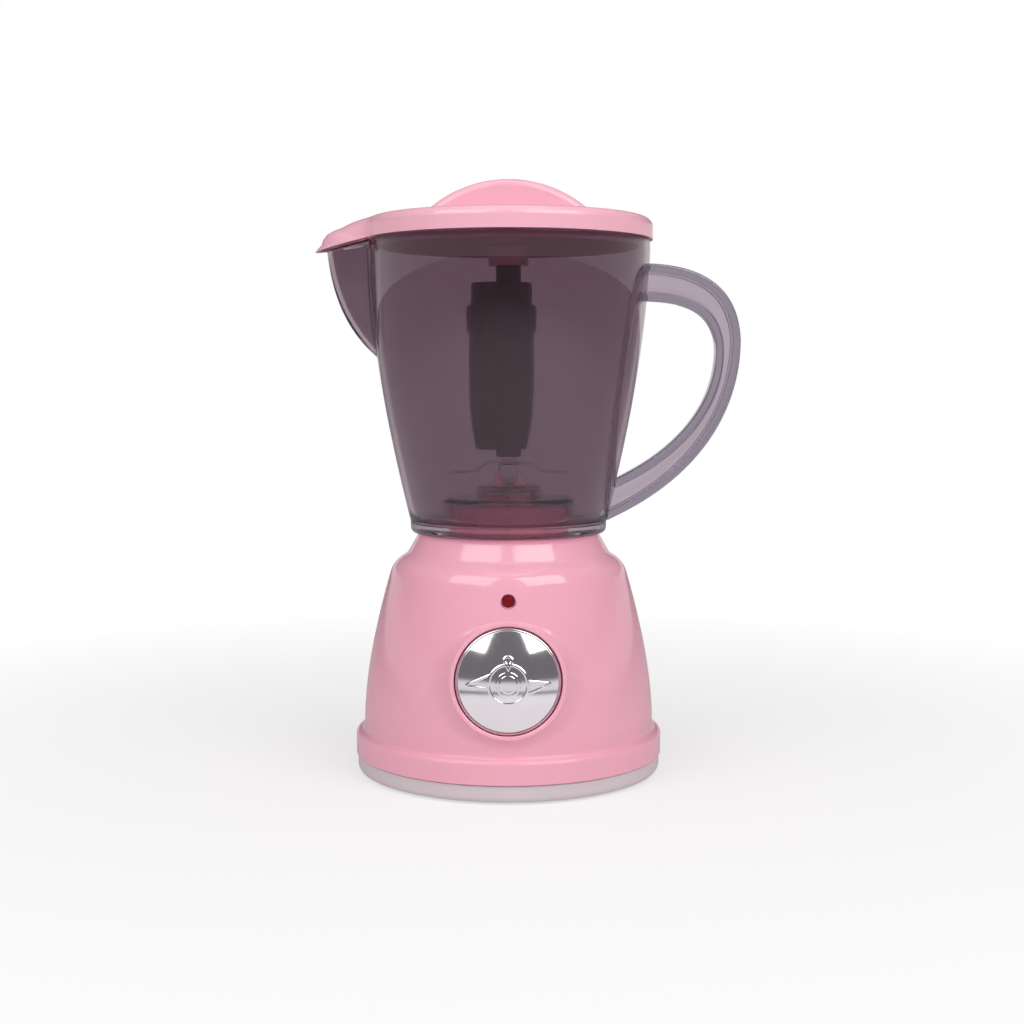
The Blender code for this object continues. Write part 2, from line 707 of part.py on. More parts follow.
def build_base_shell():
    boss_side = [(BOSS_RADIUS, DECK_HEIGHT)]
    boss_top = arc((BOSS_RADIUS - BOSS_ROUND, BOSS_TOP - BOSS_ROUND), BOSS_ROUND, 90, 0, 2)
    neck_roof = NECK_TOP_RADIUS - BASE_WALL
    inside = [
        (FLANGE_RADIUS - BASE_WALL, SEAM_HEIGHT),
        (FLANGE_RADIUS - BASE_WALL, FLANGE_TOP - BASE_WALL),
        (BELL_FOOT_RADIUS - BASE_WALL, BELL_FOOT_HEIGHT),
    ]
    inside += bend(
        (BELL_FOOT_RADIUS - BASE_WALL, BELL_FOOT_HEIGHT),
        (BELL_SWELL_RADIUS - BASE_WALL, BELL_SWELL_HEIGHT),
        (BELL_TOP_RADIUS - BASE_WALL, BELL_TOP_HEIGHT - BASE_WALL),
        3,
    )[1:]
    inside += [
        (SHOULDER_SWELL_RADIUS - BASE_WALL, SHOULDER_SWELL_HEIGHT - BASE_WALL),
        (SHOULDER_RADIUS - BASE_WALL, SHOULDER_HEIGHT - BASE_WALL),
        (NECK_RADIUS - BASE_WALL, NECK_FOOT_HEIGHT - BASE_WALL),
        (neck_roof, DECK_HEIGHT - BASE_WALL),
        (BOSS_RADIUS - BASE_WALL, DECK_HEIGHT - BASE_WALL),
        (BOSS_RADIUS - BASE_WALL, BOSS_TOP - BASE_WALL),
        (BOSS_HOLE_RADIUS, BOSS_TOP - BASE_WALL),
    ]
    outline = [(BOSS_HOLE_RADIUS, BOSS_TOP)] + boss_top + boss_side + bell_outer() + inside
    shell = turned("base_shell", outline, PINK_PLASTIC)
    join(shell, build_knob_pad())
    for index, angle in enumerate(CASE_SCREW_ANGLES):
        spot = shift_rotation((
            CASE_SCREW_CIRCLE * math.cos(angle), CASE_SCREW_CIRCLE * math.sin(angle)))
        join(shell, rod(
            f"case_post_{index}", CASE_POST_RADIUS, PLATE_PAD_TOP + TOUCH_GAP,
            CASE_POST_TOP, transform=spot, steps=12))
    for index, place in enumerate(EAR_PLACES):
        join(shell, rod(
            f"gear_post_{index}", GEAR_POST_RADIUS, GEAR_ROOF + TOUCH_GAP,
            DECK_HEIGHT - BASE_WALL / 2, transform=shift_rotation(place), steps=12))
    for index in range(BOSS_RIB_COUNT):
        spot = shift_rotation((0, 0), math.tau * index / BOSS_RIB_COUNT)
        join(shell, block(
            f"boss_rib_{index}",
            (BOSS_RADIUS - BASE_WALL / 2, -BOSS_RIB_WIDTH / 2, DECK_HEIGHT - BASE_WALL / 2),
            (BOSS_RADIUS + BOSS_RIB_DEPTH, BOSS_RIB_WIDTH / 2, BOSS_TOP - BOSS_ROUND),
            transform=spot))
    cut(shell, rod(
        "recess_cutter", KNOB_RADIUS + KNOB_SIDE_GAP, -RECESS_DEPTH, CUT_OVERRUN + RECESS_DEPTH,
        transform=KNOB_FRAME, steps=ROUND_STEPS))
    cut(shell, rod(
        "knob_hole_cutter", KNOB_SHAFT_HOLE_RADIUS, -RECESS_DEPTH - RECESS_FLOOR - CUT_OVERRUN,
        -RECESS_DEPTH + CUT_OVERRUN, transform=KNOB_FRAME))
    cut(shell, rod(
        "lamp_hole_cutter", LAMP_HOLE_RADIUS, -LAMP_LENGTH, LAMP_LENGTH, transform=LAMP_FRAME))
    for index, angle in enumerate(CASE_SCREW_ANGLES):
        spot = shift_rotation((
            CASE_SCREW_CIRCLE * math.cos(angle), CASE_SCREW_CIRCLE * math.sin(angle)))
        cut(shell, rod(
            f"case_hole_{index}", SCREW_RADIUS + SCREW_CLEARANCE, 0,
            CASE_SCREW_TOP + CUT_OVERRUN, transform=spot, steps=8))
    for index, place in enumerate(EAR_PLACES):
        cut(shell, rod(
            f"gear_hole_{index}", SCREW_RADIUS + SCREW_CLEARANCE, GEAR_ROOF,
            GEAR_SCREW_TOP + SCREW_CLEARANCE, transform=shift_rotation(place), steps=8))
    return shell


def build_knob_pad():
    """The round flat pad of the shell that the knob sits in, with the cup behind it."""
    radius = KNOB_RADIUS + KNOB_SIDE_GAP + KNOB_PAD_WIDTH
    outline = [(0, 0)] + arc(
        (radius - KNOB_PAD_ROUND, -KNOB_PAD_ROUND), KNOB_PAD_ROUND, 90, 0, 3)
    outline += [(radius, -RECESS_DEPTH - RECESS_FLOOR), (0, -RECESS_DEPTH - RECESS_FLOOR)]
    return turned("knob_pad", outline, transform=KNOB_FRAME)


def build_knob():
    front = -KNOB_SUNK
    inner = KNOB_RADIUS - KNOB_SHELL
    face = KNOB_RADIUS - KNOB_RIM_WIDTH
    outline = bend((0, front + KNOB_DOME), (face / 2, front + KNOB_DOME), (face, front), 5)
    outline += [(face, front - KNOB_RIM_STEP), (KNOB_RADIUS, front - KNOB_RIM_STEP)]
    outline += [(KNOB_RADIUS, front - KNOB_SKIRT), (inner, front - KNOB_SKIRT)]
    outline += [(inner, front - KNOB_SHELL), (KNOB_SHAFT_RADIUS + KNOB_SOCKET_WALL, front - KNOB_SHELL)]
    outline += [
        (KNOB_SHAFT_RADIUS + KNOB_SOCKET_WALL, front - KNOB_SKIRT),
        (KNOB_SHAFT_RADIUS + RUNNING_GAP, front - KNOB_SKIRT),
        (KNOB_SHAFT_RADIUS + RUNNING_GAP, front - KNOB_SHELL),
        (0, front - KNOB_SHELL),
    ]
    knob = turned("knob_cap", outline, CHROME_PLATING, transform=KNOB_FRAME)
    crown = front + KNOB_DOME
    low = crown - RELIEF_ROOT
    emblem = KNOB_FRAME @ Matrix.Translation((0, -EMBLEM_DROP, 0))
    join(knob, ring(
        "relief_ring", RING_RADIUS - RING_WIDTH, RING_RADIUS, low, crown + RING_HEIGHT,
        transform=emblem, steps=28))
    join(knob, rod(
        "relief_hub", HUB_STEP_RADIUS, low, crown + HUB_STEP_HEIGHT, transform=emblem))
    for index, turn in enumerate((0, math.pi)):
        wing = [
            (RING_RADIUS - RING_WIDTH / 2, -WING_WIDTH / 2),
            (WING_REACH - WING_WIDTH / 4, -WING_WIDTH / 8),
            (WING_REACH, WING_WIDTH / 8),
            (WING_REACH - WING_WIDTH / 4, WING_WIDTH / 4),
            (RING_RADIUS - RING_WIDTH / 2, WING_WIDTH / 3),
        ]
        join(knob, extruded(
            f"relief_wing_{index}", [wing], front - KNOB_RIM_STEP, crown - WING_HEIGHT / 2,
            transform=emblem @ Matrix.Rotation(turn, 4, "Z")))
    drop = arc((0, POINTER_REACH), POINTER_RADIUS, -30, 210, 8) + [(0, POINTER_LOW)]
    join(knob, extruded(
        "relief_pointer", [drop], low, crown + POINTER_HEIGHT, transform=KNOB_FRAME))
    baked(knob)
    rod(
        "knob_shaft", KNOB_SHAFT_RADIUS, SWITCH_FACE - SWITCH_DEPTH / 2,
        front - KNOB_SHELL - TOUCH_GAP, NATURAL_PLASTIC, transform=KNOB_FRAME)
    turned("selector_switch", switch_outline(), BLACK_PLASTIC, SMALL_STEPS, KNOB_FRAME)


def switch_outline():
    """The switch body, from its axis round the flange and back into the shaft's socket."""
    floor = SWITCH_FACE - SWITCH_DEPTH / 2 - TOUCH_GAP
    bore = KNOB_SHAFT_RADIUS + RUNNING_GAP
    return [
        (0, floor),
        (bore, floor),
        (bore, SWITCH_FACE),
        (SWITCH_FLANGE_RADIUS, SWITCH_FACE),
        (SWITCH_FLANGE_RADIUS, SWITCH_FACE - SWITCH_FLANGE),
        (SWITCH_RADIUS, SWITCH_FACE - SWITCH_FLANGE),
        (SWITCH_RADIUS, SWITCH_FACE - SWITCH_DEPTH),
        (0, SWITCH_FACE - SWITCH_DEPTH),
    ]


def build_lamp():
    """The lamp in the shell's front hole, its spacer tube and the board behind it."""
    tip = -LAMP_SUNK
    back = tip - LAMP_LENGTH
    dome = arc((0, tip - LAMP_RADIUS), LAMP_RADIUS, 90, 0, 4)
    outline = dome + [
        (LAMP_RADIUS, back + LAMP_FLANGE),
        (LAMP_FLANGE_RADIUS, back + LAMP_FLANGE),
        (LAMP_FLANGE_RADIUS, back),
        (0, back),
    ]
    turned("lamp_lens", outline, RED_LENS, SMALL_STEPS, LAMP_FRAME)
    board_face = back - TOUCH_GAP
    ring(
        "lamp_holder", LAMP_FLANGE_RADIUS + RUNNING_GAP, HOLDER_RADIUS, board_face + TOUCH_GAP,
        board_face + HOLDER_LENGTH, BLACK_PLASTIC, transform=LAMP_FRAME)
    block(
        "circuit_board", (-BOARD_WIDTH / 2, -BOARD_HEIGHT / 2, board_face - BOARD_THICKNESS),
        (BOARD_WIDTH / 2, BOARD_HEIGHT / 2, board_face), GREEN_BOARD, LAMP_FRAME)


def door_outline(margin):
    """The battery door with its screw tab, grown by a margin."""
    across = BAY_HALF_LENGTH + DOOR_LEDGE + margin
    front = BAY_FRONT - DOOR_LEDGE - margin
    rear = BAY_REAR + DOOR_LEDGE + margin
    tab = DOOR_TAB_HALF_WIDTH + margin
    return [
        (-across, front), (across, front), (across, rear), (tab, rear),
        (tab, rear + DOOR_TAB_REACH), (-tab, rear + DOOR_TAB_REACH), (-tab, rear), (-across, rear),
    ]


def build_base_plate():
    lip_outer = FLANGE_RADIUS - BASE_WALL - TOUCH_GAP
    lip_inner = lip_outer - PLATE_LIP_WALL
    plate_top = PLATE_BOTTOM + PLATE_WALL
    rim_top = SEAM_HEIGHT - TOUCH_GAP
    outline = [
        (0, plate_top), (lip_inner, plate_top), (lip_inner, SEAM_HEIGHT + PLATE_LIP_HEIGHT),
        (lip_outer, SEAM_HEIGHT + PLATE_LIP_HEIGHT), (lip_outer, rim_top), (PLATE_RADIUS, rim_top),
    ]
    outline += arc(
        (PLATE_RADIUS - PLATE_ROUND, PLATE_BOTTOM + PLATE_ROUND), PLATE_ROUND, 0, -90, 4)
    outline.append((0, PLATE_BOTTOM))
    plate = turned("base_plate", outline, WHITE_PLASTIC)
    for index in range(4):
        angle = math.tau * (index + 1 / 2) / 4
        spot = shift_rotation((FOOT_CIRCLE * math.cos(angle), FOOT_CIRCLE * math.sin(angle)))
        join(plate, rod(
            f"foot_{index}", FOOT_RADIUS - FOOT_TAPER, 0, plate_top - TOUCH_GAP,
            transform=spot, steps=14, top_radius=FOOT_RADIUS))
    join(plate, block(
        "bay_box", (-BAY_HALF_LENGTH - BAY_WALL, BAY_FRONT - BAY_WALL, PLATE_BOTTOM + TOUCH_GAP),
        (BAY_HALF_LENGTH + BAY_WALL, BAY_REAR + BAY_WALL, BAY_CEILING + BAY_WALL)))
    join(plate, extruded(
        "door_frame", [door_outline(DOOR_GAP + DOOR_FRAME_WALL)], PLATE_BOTTOM + TOUCH_GAP,
        PLATE_BOTTOM + DOOR_FRAME_HEIGHT))
    spot = shift_rotation(DOOR_SCREW_PLACE)
    join(plate, rod(
        "door_post", DOOR_POST_RADIUS, PLATE_BOTTOM + PLATE_WALL,
        PLATE_BOTTOM + DOOR_POST_HEIGHT, transform=spot, steps=14))
    for index, angle in enumerate(CASE_SCREW_ANGLES):
        place = shift_rotation((
            CASE_SCREW_CIRCLE * math.cos(angle), CASE_SCREW_CIRCLE * math.sin(angle)))
        join(plate, rod(
            f"plate_pad_{index}", CASE_POST_RADIUS, PLATE_BOTTOM + TOUCH_GAP, PLATE_PAD_TOP,
            transform=place, steps=12))
    cut(plate, extruded(
        "door_cutter", [door_outline(DOOR_GAP)], -CUT_OVERRUN, DOOR_TOP + TOUCH_GAP))
    cut(plate, block(
        "bay_cutter", (-BAY_HALF_LENGTH, BAY_FRONT, -CUT_OVERRUN),
        (BAY_HALF_LENGTH, BAY_REAR, BAY_CEILING)))
    cut(plate, rod(
        "door_hole", SCREW_RADIUS + SCREW_CLEARANCE, 0,
        DOOR_TOP + DOOR_SCREW_LENGTH + SCREW_CLEARANCE, transform=spot, steps=8))
    for index, angle in enumerate(CASE_SCREW_ANGLES):
        place = shift_rotation((
            CASE_SCREW_CIRCLE * math.cos(angle), CASE_SCREW_CIRCLE * math.sin(angle)))
        cut(plate, rod(
            f"plate_hole_{index}", SCREW_RADIUS + SCREW_CLEARANCE, 0,
            PLATE_PAD_TOP + CUT_OVERRUN, transform=place, steps=8))
        cut(plate, rod(
            f"head_hole_{index}", SCREW_HEAD_RADIUS + SCREW_CLEARANCE, -CUT_OVERRUN,
            CASE_HEAD_TOP + TOUCH_GAP, transform=place, steps=12))
    baked(plate)


def screw(name, place, head_low, length, mat):
    """A round-headed screw standing on its head, its tip upwards."""
    outline = [
        (0, head_low + SCREW_HEAD + length),
        (SCREW_RADIUS / 2, head_low + SCREW_HEAD + length),
        (SCREW_RADIUS, head_low + SCREW_HEAD + length - SCREW_RADIUS),
        (SCREW_RADIUS, head_low + SCREW_HEAD),
        (SCREW_HEAD_RADIUS, head_low + SCREW_HEAD),
        (SCREW_HEAD_RADIUS, head_low + SCREW_HEAD / 3),
        (SCREW_HEAD_RADIUS * 2 / 3, head_low),
        (0, head_low),
    ]
    return turned(name, outline, mat, 10, shift_rotation(place))


def build_case_screws():
    for index, angle in enumerate(CASE_SCREW_ANGLES):
        place = (CASE_SCREW_CIRCLE * math.cos(angle), CASE_SCREW_CIRCLE * math.sin(angle))
        screw(
            f"case_screw_{index + 1}", place, CASE_HEAD_TOP - SCREW_HEAD, CASE_SCREW_LENGTH,
            STEEL_METAL)
    for index, place in enumerate(EAR_PLACES):
        screw(
            f"gearbox_screw_{index + 1}", place, CASE_LOW - TOUCH_GAP - SCREW_HEAD,
            GEAR_SCREW_LENGTH, STEEL_METAL)


def build_battery_door():
    door = extruded("battery_door", [door_outline(0)], PLATE_BOTTOM, DOOR_TOP, WHITE_PLASTIC)
    spot = shift_rotation(DOOR_SCREW_PLACE)
    cut(door, rod(
        "door_screw_hole", SCREW_RADIUS + SCREW_CLEARANCE, 0, DOOR_TOP + CUT_OVERRUN,
        transform=spot, steps=8))
    cut(door, rod(
        "door_head_hole", SCREW_HEAD_RADIUS + SCREW_CLEARANCE, 0, DOOR_HEAD_TOP,
        transform=spot, steps=12))
    baked(door)
    screw(
        "battery_door_screw", DOOR_SCREW_PLACE, DOOR_HEAD_TOP - SCREW_HEAD,
        DOOR_SCREW_LENGTH, STEEL_METAL)


def build_cells():
    """Two cells lying along X, head to tail, with the contacts and springs at their ends."""
    half = (CELL_LENGTH + CELL_NUB) / 2
    outline = [(0, half), (CELL_NUB_RADIUS, half), (CELL_NUB_RADIUS, half - CELL_NUB)]
    outline += arc(
        (CELL_RADIUS - CELL_ROUND, half - CELL_NUB - CELL_ROUND), CELL_ROUND, 90, 0, 2)
    outline += arc((CELL_RADIUS - CELL_ROUND, CELL_ROUND - half), CELL_ROUND, 0, -90, 2)
    outline.append((0, -half))
    contact_face = BAY_HALF_LENGTH - TOUCH_GAP
    plate_face = contact_face - CONTACT_THICKNESS
    shift = plate_face - TOUCH_GAP - half
    for index, across in enumerate(CELL_PLACES):
        way = 1 if index == 0 else -1
        frame = Matrix.Translation((way * shift, across, CELL_HEIGHT))
        frame = frame @ Matrix.Rotation(way * math.pi / 2, 4, "Y")
        turned(f"battery_{index + 1}", outline, CELL_SKIN, SMALL_STEPS, frame)
        spring_start = -way * (plate_face - TOUCH_GAP - SPRING_WIRE_RADIUS)
        spring_end = way * shift - way * (half + TOUCH_GAP + SPRING_WIRE_RADIUS)
        turns = SPRING_TURNS * SPRING_POINTS_PER_TURN
        points = []
        for step in range(turns + 1):
            share = step / turns
            angle = math.tau * step / SPRING_POINTS_PER_TURN
            radius = SPRING_WIDE_RADIUS + (SPRING_NARROW_RADIUS - SPRING_WIDE_RADIUS) * share
            points.append((
                spring_start + (spring_end - spring_start) * share,
                across + radius * math.cos(angle),
                CELL_HEIGHT + radius * math.sin(angle),
            ))
        wire(f"battery_spring_{index + 1}", points, SPRING_WIRE_RADIUS, STEEL_METAL)
        block(
            ("contact_positive", "contact_negative")[index],
            (plate_face, across - CONTACT_WIDTH / 2, CELL_HEIGHT - CONTACT_HEIGHT / 2),
            (contact_face, across + CONTACT_WIDTH / 2, CELL_HEIGHT + CONTACT_HEIGHT / 2),
            STEEL_METAL)
    block(
        "contact_bridge",
        (-contact_face, CELL_PLACES[0] - CONTACT_WIDTH / 2, CELL_HEIGHT - CONTACT_HEIGHT / 2),
        (-plate_face, CELL_PLACES[1] + CONTACT_WIDTH / 2, CELL_HEIGHT + CONTACT_HEIGHT / 2),
        STEEL_METAL)


def gear_outline(teeth, fine):
    """An involute spur gear's outline with a tooth centred on +X."""
    pitch = MODULE * teeth / 2
    base = pitch * math.cos(PRESSURE_ANGLE)
    tip = pitch + ADDENDUM_SHARE * MODULE
    root = pitch - DEDENDUM_SHARE * MODULE
    half_pitch = math.pi / (2 * teeth) - BACKLASH / (2 * pitch)

    def involute(angle):
        return math.tan(angle) - angle

    def half_angle(radius):
        slope = math.acos(min(1, base / radius))
        return half_pitch + involute(PRESSURE_ANGLE) - involute(slope)

    radii = [root, pitch, tip] if fine else [root, tip]
    outline = []
    for tooth in range(teeth):
        centre = math.tau * tooth / teeth
        flank = [(radius, half_angle(max(radius, base))) for radius in radii]
        for radius, half in flank:
            outline.append((radius * math.cos(centre - half), radius * math.sin(centre - half)))
        for radius, half in flank[::-1]:
            outline.append((radius * math.cos(centre + half), radius * math.sin(centre + half)))
    return outline


def wheel_body(name, low, bore, mat=None, transform=None):
    """A large gear with a rim, a thin web and a hub."""
    high = low + WHEEL_WIDTH
    wheel = extruded(
        name, [gear_outline(WHEEL_TEETH, False), circle((0, 0), bore, 16)], low, high, mat,
        transform)
    rim = WHEEL_ROOT - WHEEL_RIM
    web_low = (low + high - WHEEL_WEB) / 2
    for side, (start, end) in enumerate((
        (low - CUT_OVERRUN, web_low), (web_low + WHEEL_WEB, high + CUT_OVERRUN),
    )):
        cut(wheel, ring(
            f"{name}_pocket_{side}", WHEEL_HUB_RADIUS, rim, start, end, transform=transform))
    return wheel


def build_gear_train():
    wheel_low = GEAR_FLOOR + GEAR_END_GAP
    second_low = wheel_low + WHEEL_WIDTH + GEAR_END_GAP
    out_frame = shift_rotation((0, 0), IDLER_ANGLE)
    out_wheel = wheel_body(
        "output_gear", second_low, DRIVE_SHAFT_RADIUS + RUNNING_GAP, NATURAL_PLASTIC, out_frame)
    baked(out_wheel)
    rod(
        "drive_shaft", DRIVE_SHAFT_RADIUS, GEAR_FLOOR - CASE_FLOOR, COUPLING_LOW + COUPLING_DISC,
        STEEL_METAL, transform=out_frame)
    bore = IDLER_PIN_RADIUS + RUNNING_GAP
    idler_frame = shift_rotation(IDLER_PLACE, MOTOR_ANGLE)
    compound = wheel_body("compound_gear", wheel_low, bore, NATURAL_PLASTIC, idler_frame)
    pinion_turn = IDLER_ANGLE + math.pi + math.pi / PINION_TEETH
    join(compound, extruded(
        "compound_pinion", [gear_outline(PINION_TEETH, True), circle((0, 0), bore, 16)],
        wheel_low + WHEEL_WIDTH - WHEEL_WEB / 2, GEAR_CEILING - GEAR_END_GAP,
        transform=shift_rotation(IDLER_PLACE, pinion_turn)))
    baked(compound)
    rod(
        "idler_pin", IDLER_PIN_RADIUS, GEAR_FLOOR - CASE_FLOOR, GEAR_ROOF, STEEL_METAL, steps=12,
        transform=idler_frame)
    motor_frame = shift_rotation(MOTOR_PLACE, MOTOR_ANGLE + math.pi + math.pi / PINION_TEETH)
    extruded(
        "motor_pinion",
        [gear_outline(PINION_TEETH, True),
         circle((0, 0), MOTOR_SHAFT_RADIUS + RUNNING_GAP, 12)],
        GEAR_FLOOR + GEAR_END_GAP / 2, GEAR_FLOOR + GEAR_END_GAP / 2 + PINION_WIDTH,
        BRASS_METAL, motor_frame)
    rod(
        "motor_shaft", MOTOR_SHAFT_RADIUS, MOTOR_TOP - MOTOR_SHAFT_DEPTH + TOUCH_GAP,
        GEAR_FLOOR + GEAR_END_GAP / 2 + PINION_WIDTH, STEEL_METAL, steps=12,
        transform=motor_frame)


def case_outline(clearance):
    """The convex outline round the gears, grown by a clearance."""
    tip = WHEEL_TIP + clearance
    return hull(
        circle((0, 0), tip, 28) + circle(IDLER_PLACE, tip, 28)
        + circle(MOTOR_PLACE, PINION_TIP + clearance, 20)
    )


def build_gearbox():
    ears = [point for place in EAR_PLACES for point in circle(place, EAR_RADIUS, 12)]
    motor_seat = circle(MOTOR_PLACE, MOTOR_RADIUS, 24)
    outside = hull(case_outline(CASE_CLEARANCE + CASE_WALL) + ears + motor_seat)
    wall_top = GEAR_CEILING
    case = extruded("gearbox_case", [outside], CASE_LOW, wall_top, WHITE_PLASTIC)
    cut(case, extruded(
        "case_cavity", [case_outline(CASE_CLEARANCE)], GEAR_FLOOR, wall_top + CUT_OVERRUN))
    cut(case, rod(
        "case_shaft_hole", DRIVE_SHAFT_RADIUS + RUNNING_GAP, CASE_LOW - CUT_OVERRUN,
        GEAR_FLOOR + CUT_OVERRUN))
    cut(case, rod(
        "case_pin_hole", IDLER_PIN_RADIUS + RUNNING_GAP, CASE_LOW - CUT_OVERRUN,
        GEAR_FLOOR + CUT_OVERRUN, transform=shift_rotation(IDLER_PLACE, MOTOR_ANGLE), steps=12))
    cut(case, rod(
        "case_nose_hole", MOTOR_NOSE_RADIUS + TOUCH_GAP, CASE_LOW - CUT_OVERRUN,
        GEAR_FLOOR + CUT_OVERRUN, transform=shift_rotation(MOTOR_PLACE)))
    for index, place in enumerate(EAR_PLACES):
        cut(case, rod(
            f"case_ear_hole_{index}", SCREW_RADIUS + SCREW_CLEARANCE, CASE_LOW - CUT_OVERRUN,
            wall_top + CUT_OVERRUN, transform=shift_rotation(place), steps=8))
    baked(case)
    holes = [circle((0, 0), DRIVE_SHAFT_RADIUS + RUNNING_GAP)]
    holes.append(circle(IDLER_PLACE, IDLER_PIN_RADIUS + RUNNING_GAP, 12, MOTOR_ANGLE))
    holes += [circle(place, SCREW_RADIUS + SCREW_CLEARANCE, 8) for place in EAR_PLACES]
    extruded(
        "gearbox_cover", [outside] + holes, wall_top + TOUCH_GAP, GEAR_ROOF, WHITE_PLASTIC)


def build_motor():
    frame = shift_rotation(MOTOR_PLACE)

    def flattened(radius):
        flat = MOTOR_FLAT - (MOTOR_RADIUS - radius)
        return hull([(across, max(-flat, min(flat, along)))
                     for across, along in circle((0, 0), radius, 28)])

    can_low = MOTOR_TOP - MOTOR_CAN_LENGTH
    can = extruded(
        "motor_can", [flattened(MOTOR_RADIUS)], can_low, MOTOR_TOP, BRIGHT_METAL, frame)
    join(can, rod(
        "motor_nose", MOTOR_NOSE_RADIUS, MOTOR_TOP - MOTOR_NOSE, MOTOR_TOP + MOTOR_NOSE,
        transform=frame))
    cut(can, rod(
        "motor_bore", MOTOR_SHAFT_RADIUS + RUNNING_GAP, MOTOR_TOP - MOTOR_SHAFT_DEPTH,
        MOTOR_TOP + MOTOR_NOSE + CUT_OVERRUN, transform=frame, steps=12))
    baked(can)
    cap_top = can_low - TOUCH_GAP
    cap_low = cap_top - MOTOR_CAP_LENGTH
    extruded(
        "motor_end_cap", [flattened(MOTOR_RADIUS - MOTOR_CAP_INSET)], cap_low, cap_top,
        WHITE_PLASTIC, frame)
    for index, side in enumerate((-1, 1)):
        across = side * MOTOR_TERMINAL_PLACE
        block(
            f"motor_terminal_{index + 1}",
            (across - MOTOR_TERMINAL_THICKNESS / 2, -MOTOR_TERMINAL_WIDTH / 2,
             cap_low - TOUCH_GAP - MOTOR_TERMINAL),
            (across + MOTOR_TERMINAL_THICKNESS / 2, MOTOR_TERMINAL_WIDTH / 2,
             cap_low - TOUCH_GAP),
            BRASS_METAL, frame)


def sector(inner, outer, centre, spread, steps=4):
    """A ring segment's outline."""
    angles = [centre - spread / 2 + spread * index / steps for index in range(steps + 1)]
    outline = [(outer * math.cos(angle), outer * math.sin(angle)) for angle in angles]
    outline += [(inner * math.cos(angle), inner * math.sin(angle)) for angle in angles[::-1]]
    return outline


def build_couplings():
    """Two three-dog couplings: one on the drive shaft, one under the jar, dogs between dogs."""
    disc_top = COUPLING_LOW + COUPLING_DISC
    lower = ring(
        "drive_coupling", DRIVE_SHAFT_RADIUS + RUNNING_GAP, COUPLING_RADIUS, COUPLING_LOW,
        disc_top, PINK_PLASTIC, transform=shift_rotation((0, 0), IDLER_ANGLE))
    blade_disc_low = BLADE_COUPLING_TOP - COUPLING_DISC
    upper = ring(
        "blade_coupling", BLADE_SHAFT_RADIUS + RUNNING_GAP, COUPLING_RADIUS, blade_disc_low,
        BLADE_COUPLING_TOP, WHITE_PLASTIC)
    for index in range(DOG_COUNT):
        turn = math.tau * index / DOG_COUNT
        join(lower, extruded(
            f"lower_dog_{index}", [sector(DOG_INNER_RADIUS, DOG_OUTER_RADIUS, turn, DOG_ANGLE)],
            disc_top - COUPLING_DISC / 2, disc_top + DOG_HEIGHT))
        turn += math.pi / DOG_COUNT
        join(upper, extruded(
            f"upper_dog_{index}", [sector(DOG_INNER_RADIUS, DOG_OUTER_RADIUS, turn, DOG_ANGLE)],
            blade_disc_low - DOG_HEIGHT, blade_disc_low + COUPLING_DISC / 2))
    baked(lower)
    baked(upper)
    bush_top = BOSS_TOP - TOUCH_GAP
    flange_top = BOSS_TOP - BASE_WALL - TOUCH_GAP
    turned("drive_bush", [
        (BOSS_HOLE_RADIUS - TOUCH_GAP, bush_top),
        (BOSS_HOLE_RADIUS - TOUCH_GAP, flange_top),
        (DRIVE_BUSH_FLANGE_RADIUS, flange_top),
        (DRIVE_BUSH_FLANGE_RADIUS, flange_top - DRIVE_BUSH_FLANGE),
        (DRIVE_SHAFT_RADIUS + RUNNING_GAP, flange_top - DRIVE_BUSH_FLANGE),
        (DRIVE_SHAFT_RADIUS + RUNNING_GAP, bush_top),
    ], NATURAL_PLASTIC, SMALL_STEPS)
    ring(
        "blade_bush", BLADE_SHAFT_RADIUS + RUNNING_GAP, BUSH_HOLE_RADIUS - TOUCH_GAP,
        STEP_CEILING + RUNNING_GAP, STEP_TOP - RUNNING_GAP, NATURAL_PLASTIC)


def jar_side(offset=0.0):
    """The jar's outer side from under the bead to the foot, moved outwards by an offset."""
    side = bend(
        (JAR_TOP_RADIUS, JAR_BEAD_HEIGHT), (JAR_SWELL_RADIUS, JAR_SWELL_HEIGHT),
        (JAR_FOOT_RADIUS, JAR_FOOT_HEIGHT), 6)
    return [(radius + offset, height) for radius, height in side]


def jar_outer(offset=0.0):
    """The jar's full outer outline from rim to foot."""
    rim = JAR_TOP_RADIUS - JAR_RIM_ROUND + offset
    outline = [(rim - JAR_RIM_ROUND, JAR_TOP + offset), (rim, JAR_TOP - JAR_RIM_ROUND)]
    outline += jar_side(offset)
    outline += arc(
        (JAR_FOOT_RADIUS - JAR_FOOT_ROUND, JAR_FOOT_HEIGHT), JAR_FOOT_ROUND + offset, 0, -90, 3
    )[1:]
    return outline


def radius_at(outline, height):
    """The outline's radius at a height, its points running downwards."""
    for (upper_radius, upper), (lower_radius, lower) in zip(outline, outline[1:]):
        if lower <= height <= upper and upper > lower:
            share = (height - lower) / (upper - lower)
            return lower_radius + (upper_radius - lower_radius) * share
    return outline[0][0] if height > outline[0][1] else outline[-1][0]


def lobe(name, levels, sides=SPOUT_SIDES):
    """A pointed bulge towards -X: for each level its height, reach, edge, half width and back."""
    sections = []
    for height, reach, edge, half_width, back in levels:
        spread = math.asin(half_width / edge)
        section = []
        for step in range(sides + 1):
            share = 2 * step / sides - 1
            radius = edge + (reach - edge) * (1 + math.cos(math.pi * share)) / 2
            angle = math.pi + spread * share
            section.append((radius * math.cos(angle), radius * math.sin(angle), height))
        for step in range(sides, -1, -1):
            angle = math.pi + spread * (2 * step / sides - 1)
            section.append((back * math.cos(angle), back * math.sin(angle), height))
        sections.append(section)
    return loft(name, sections)


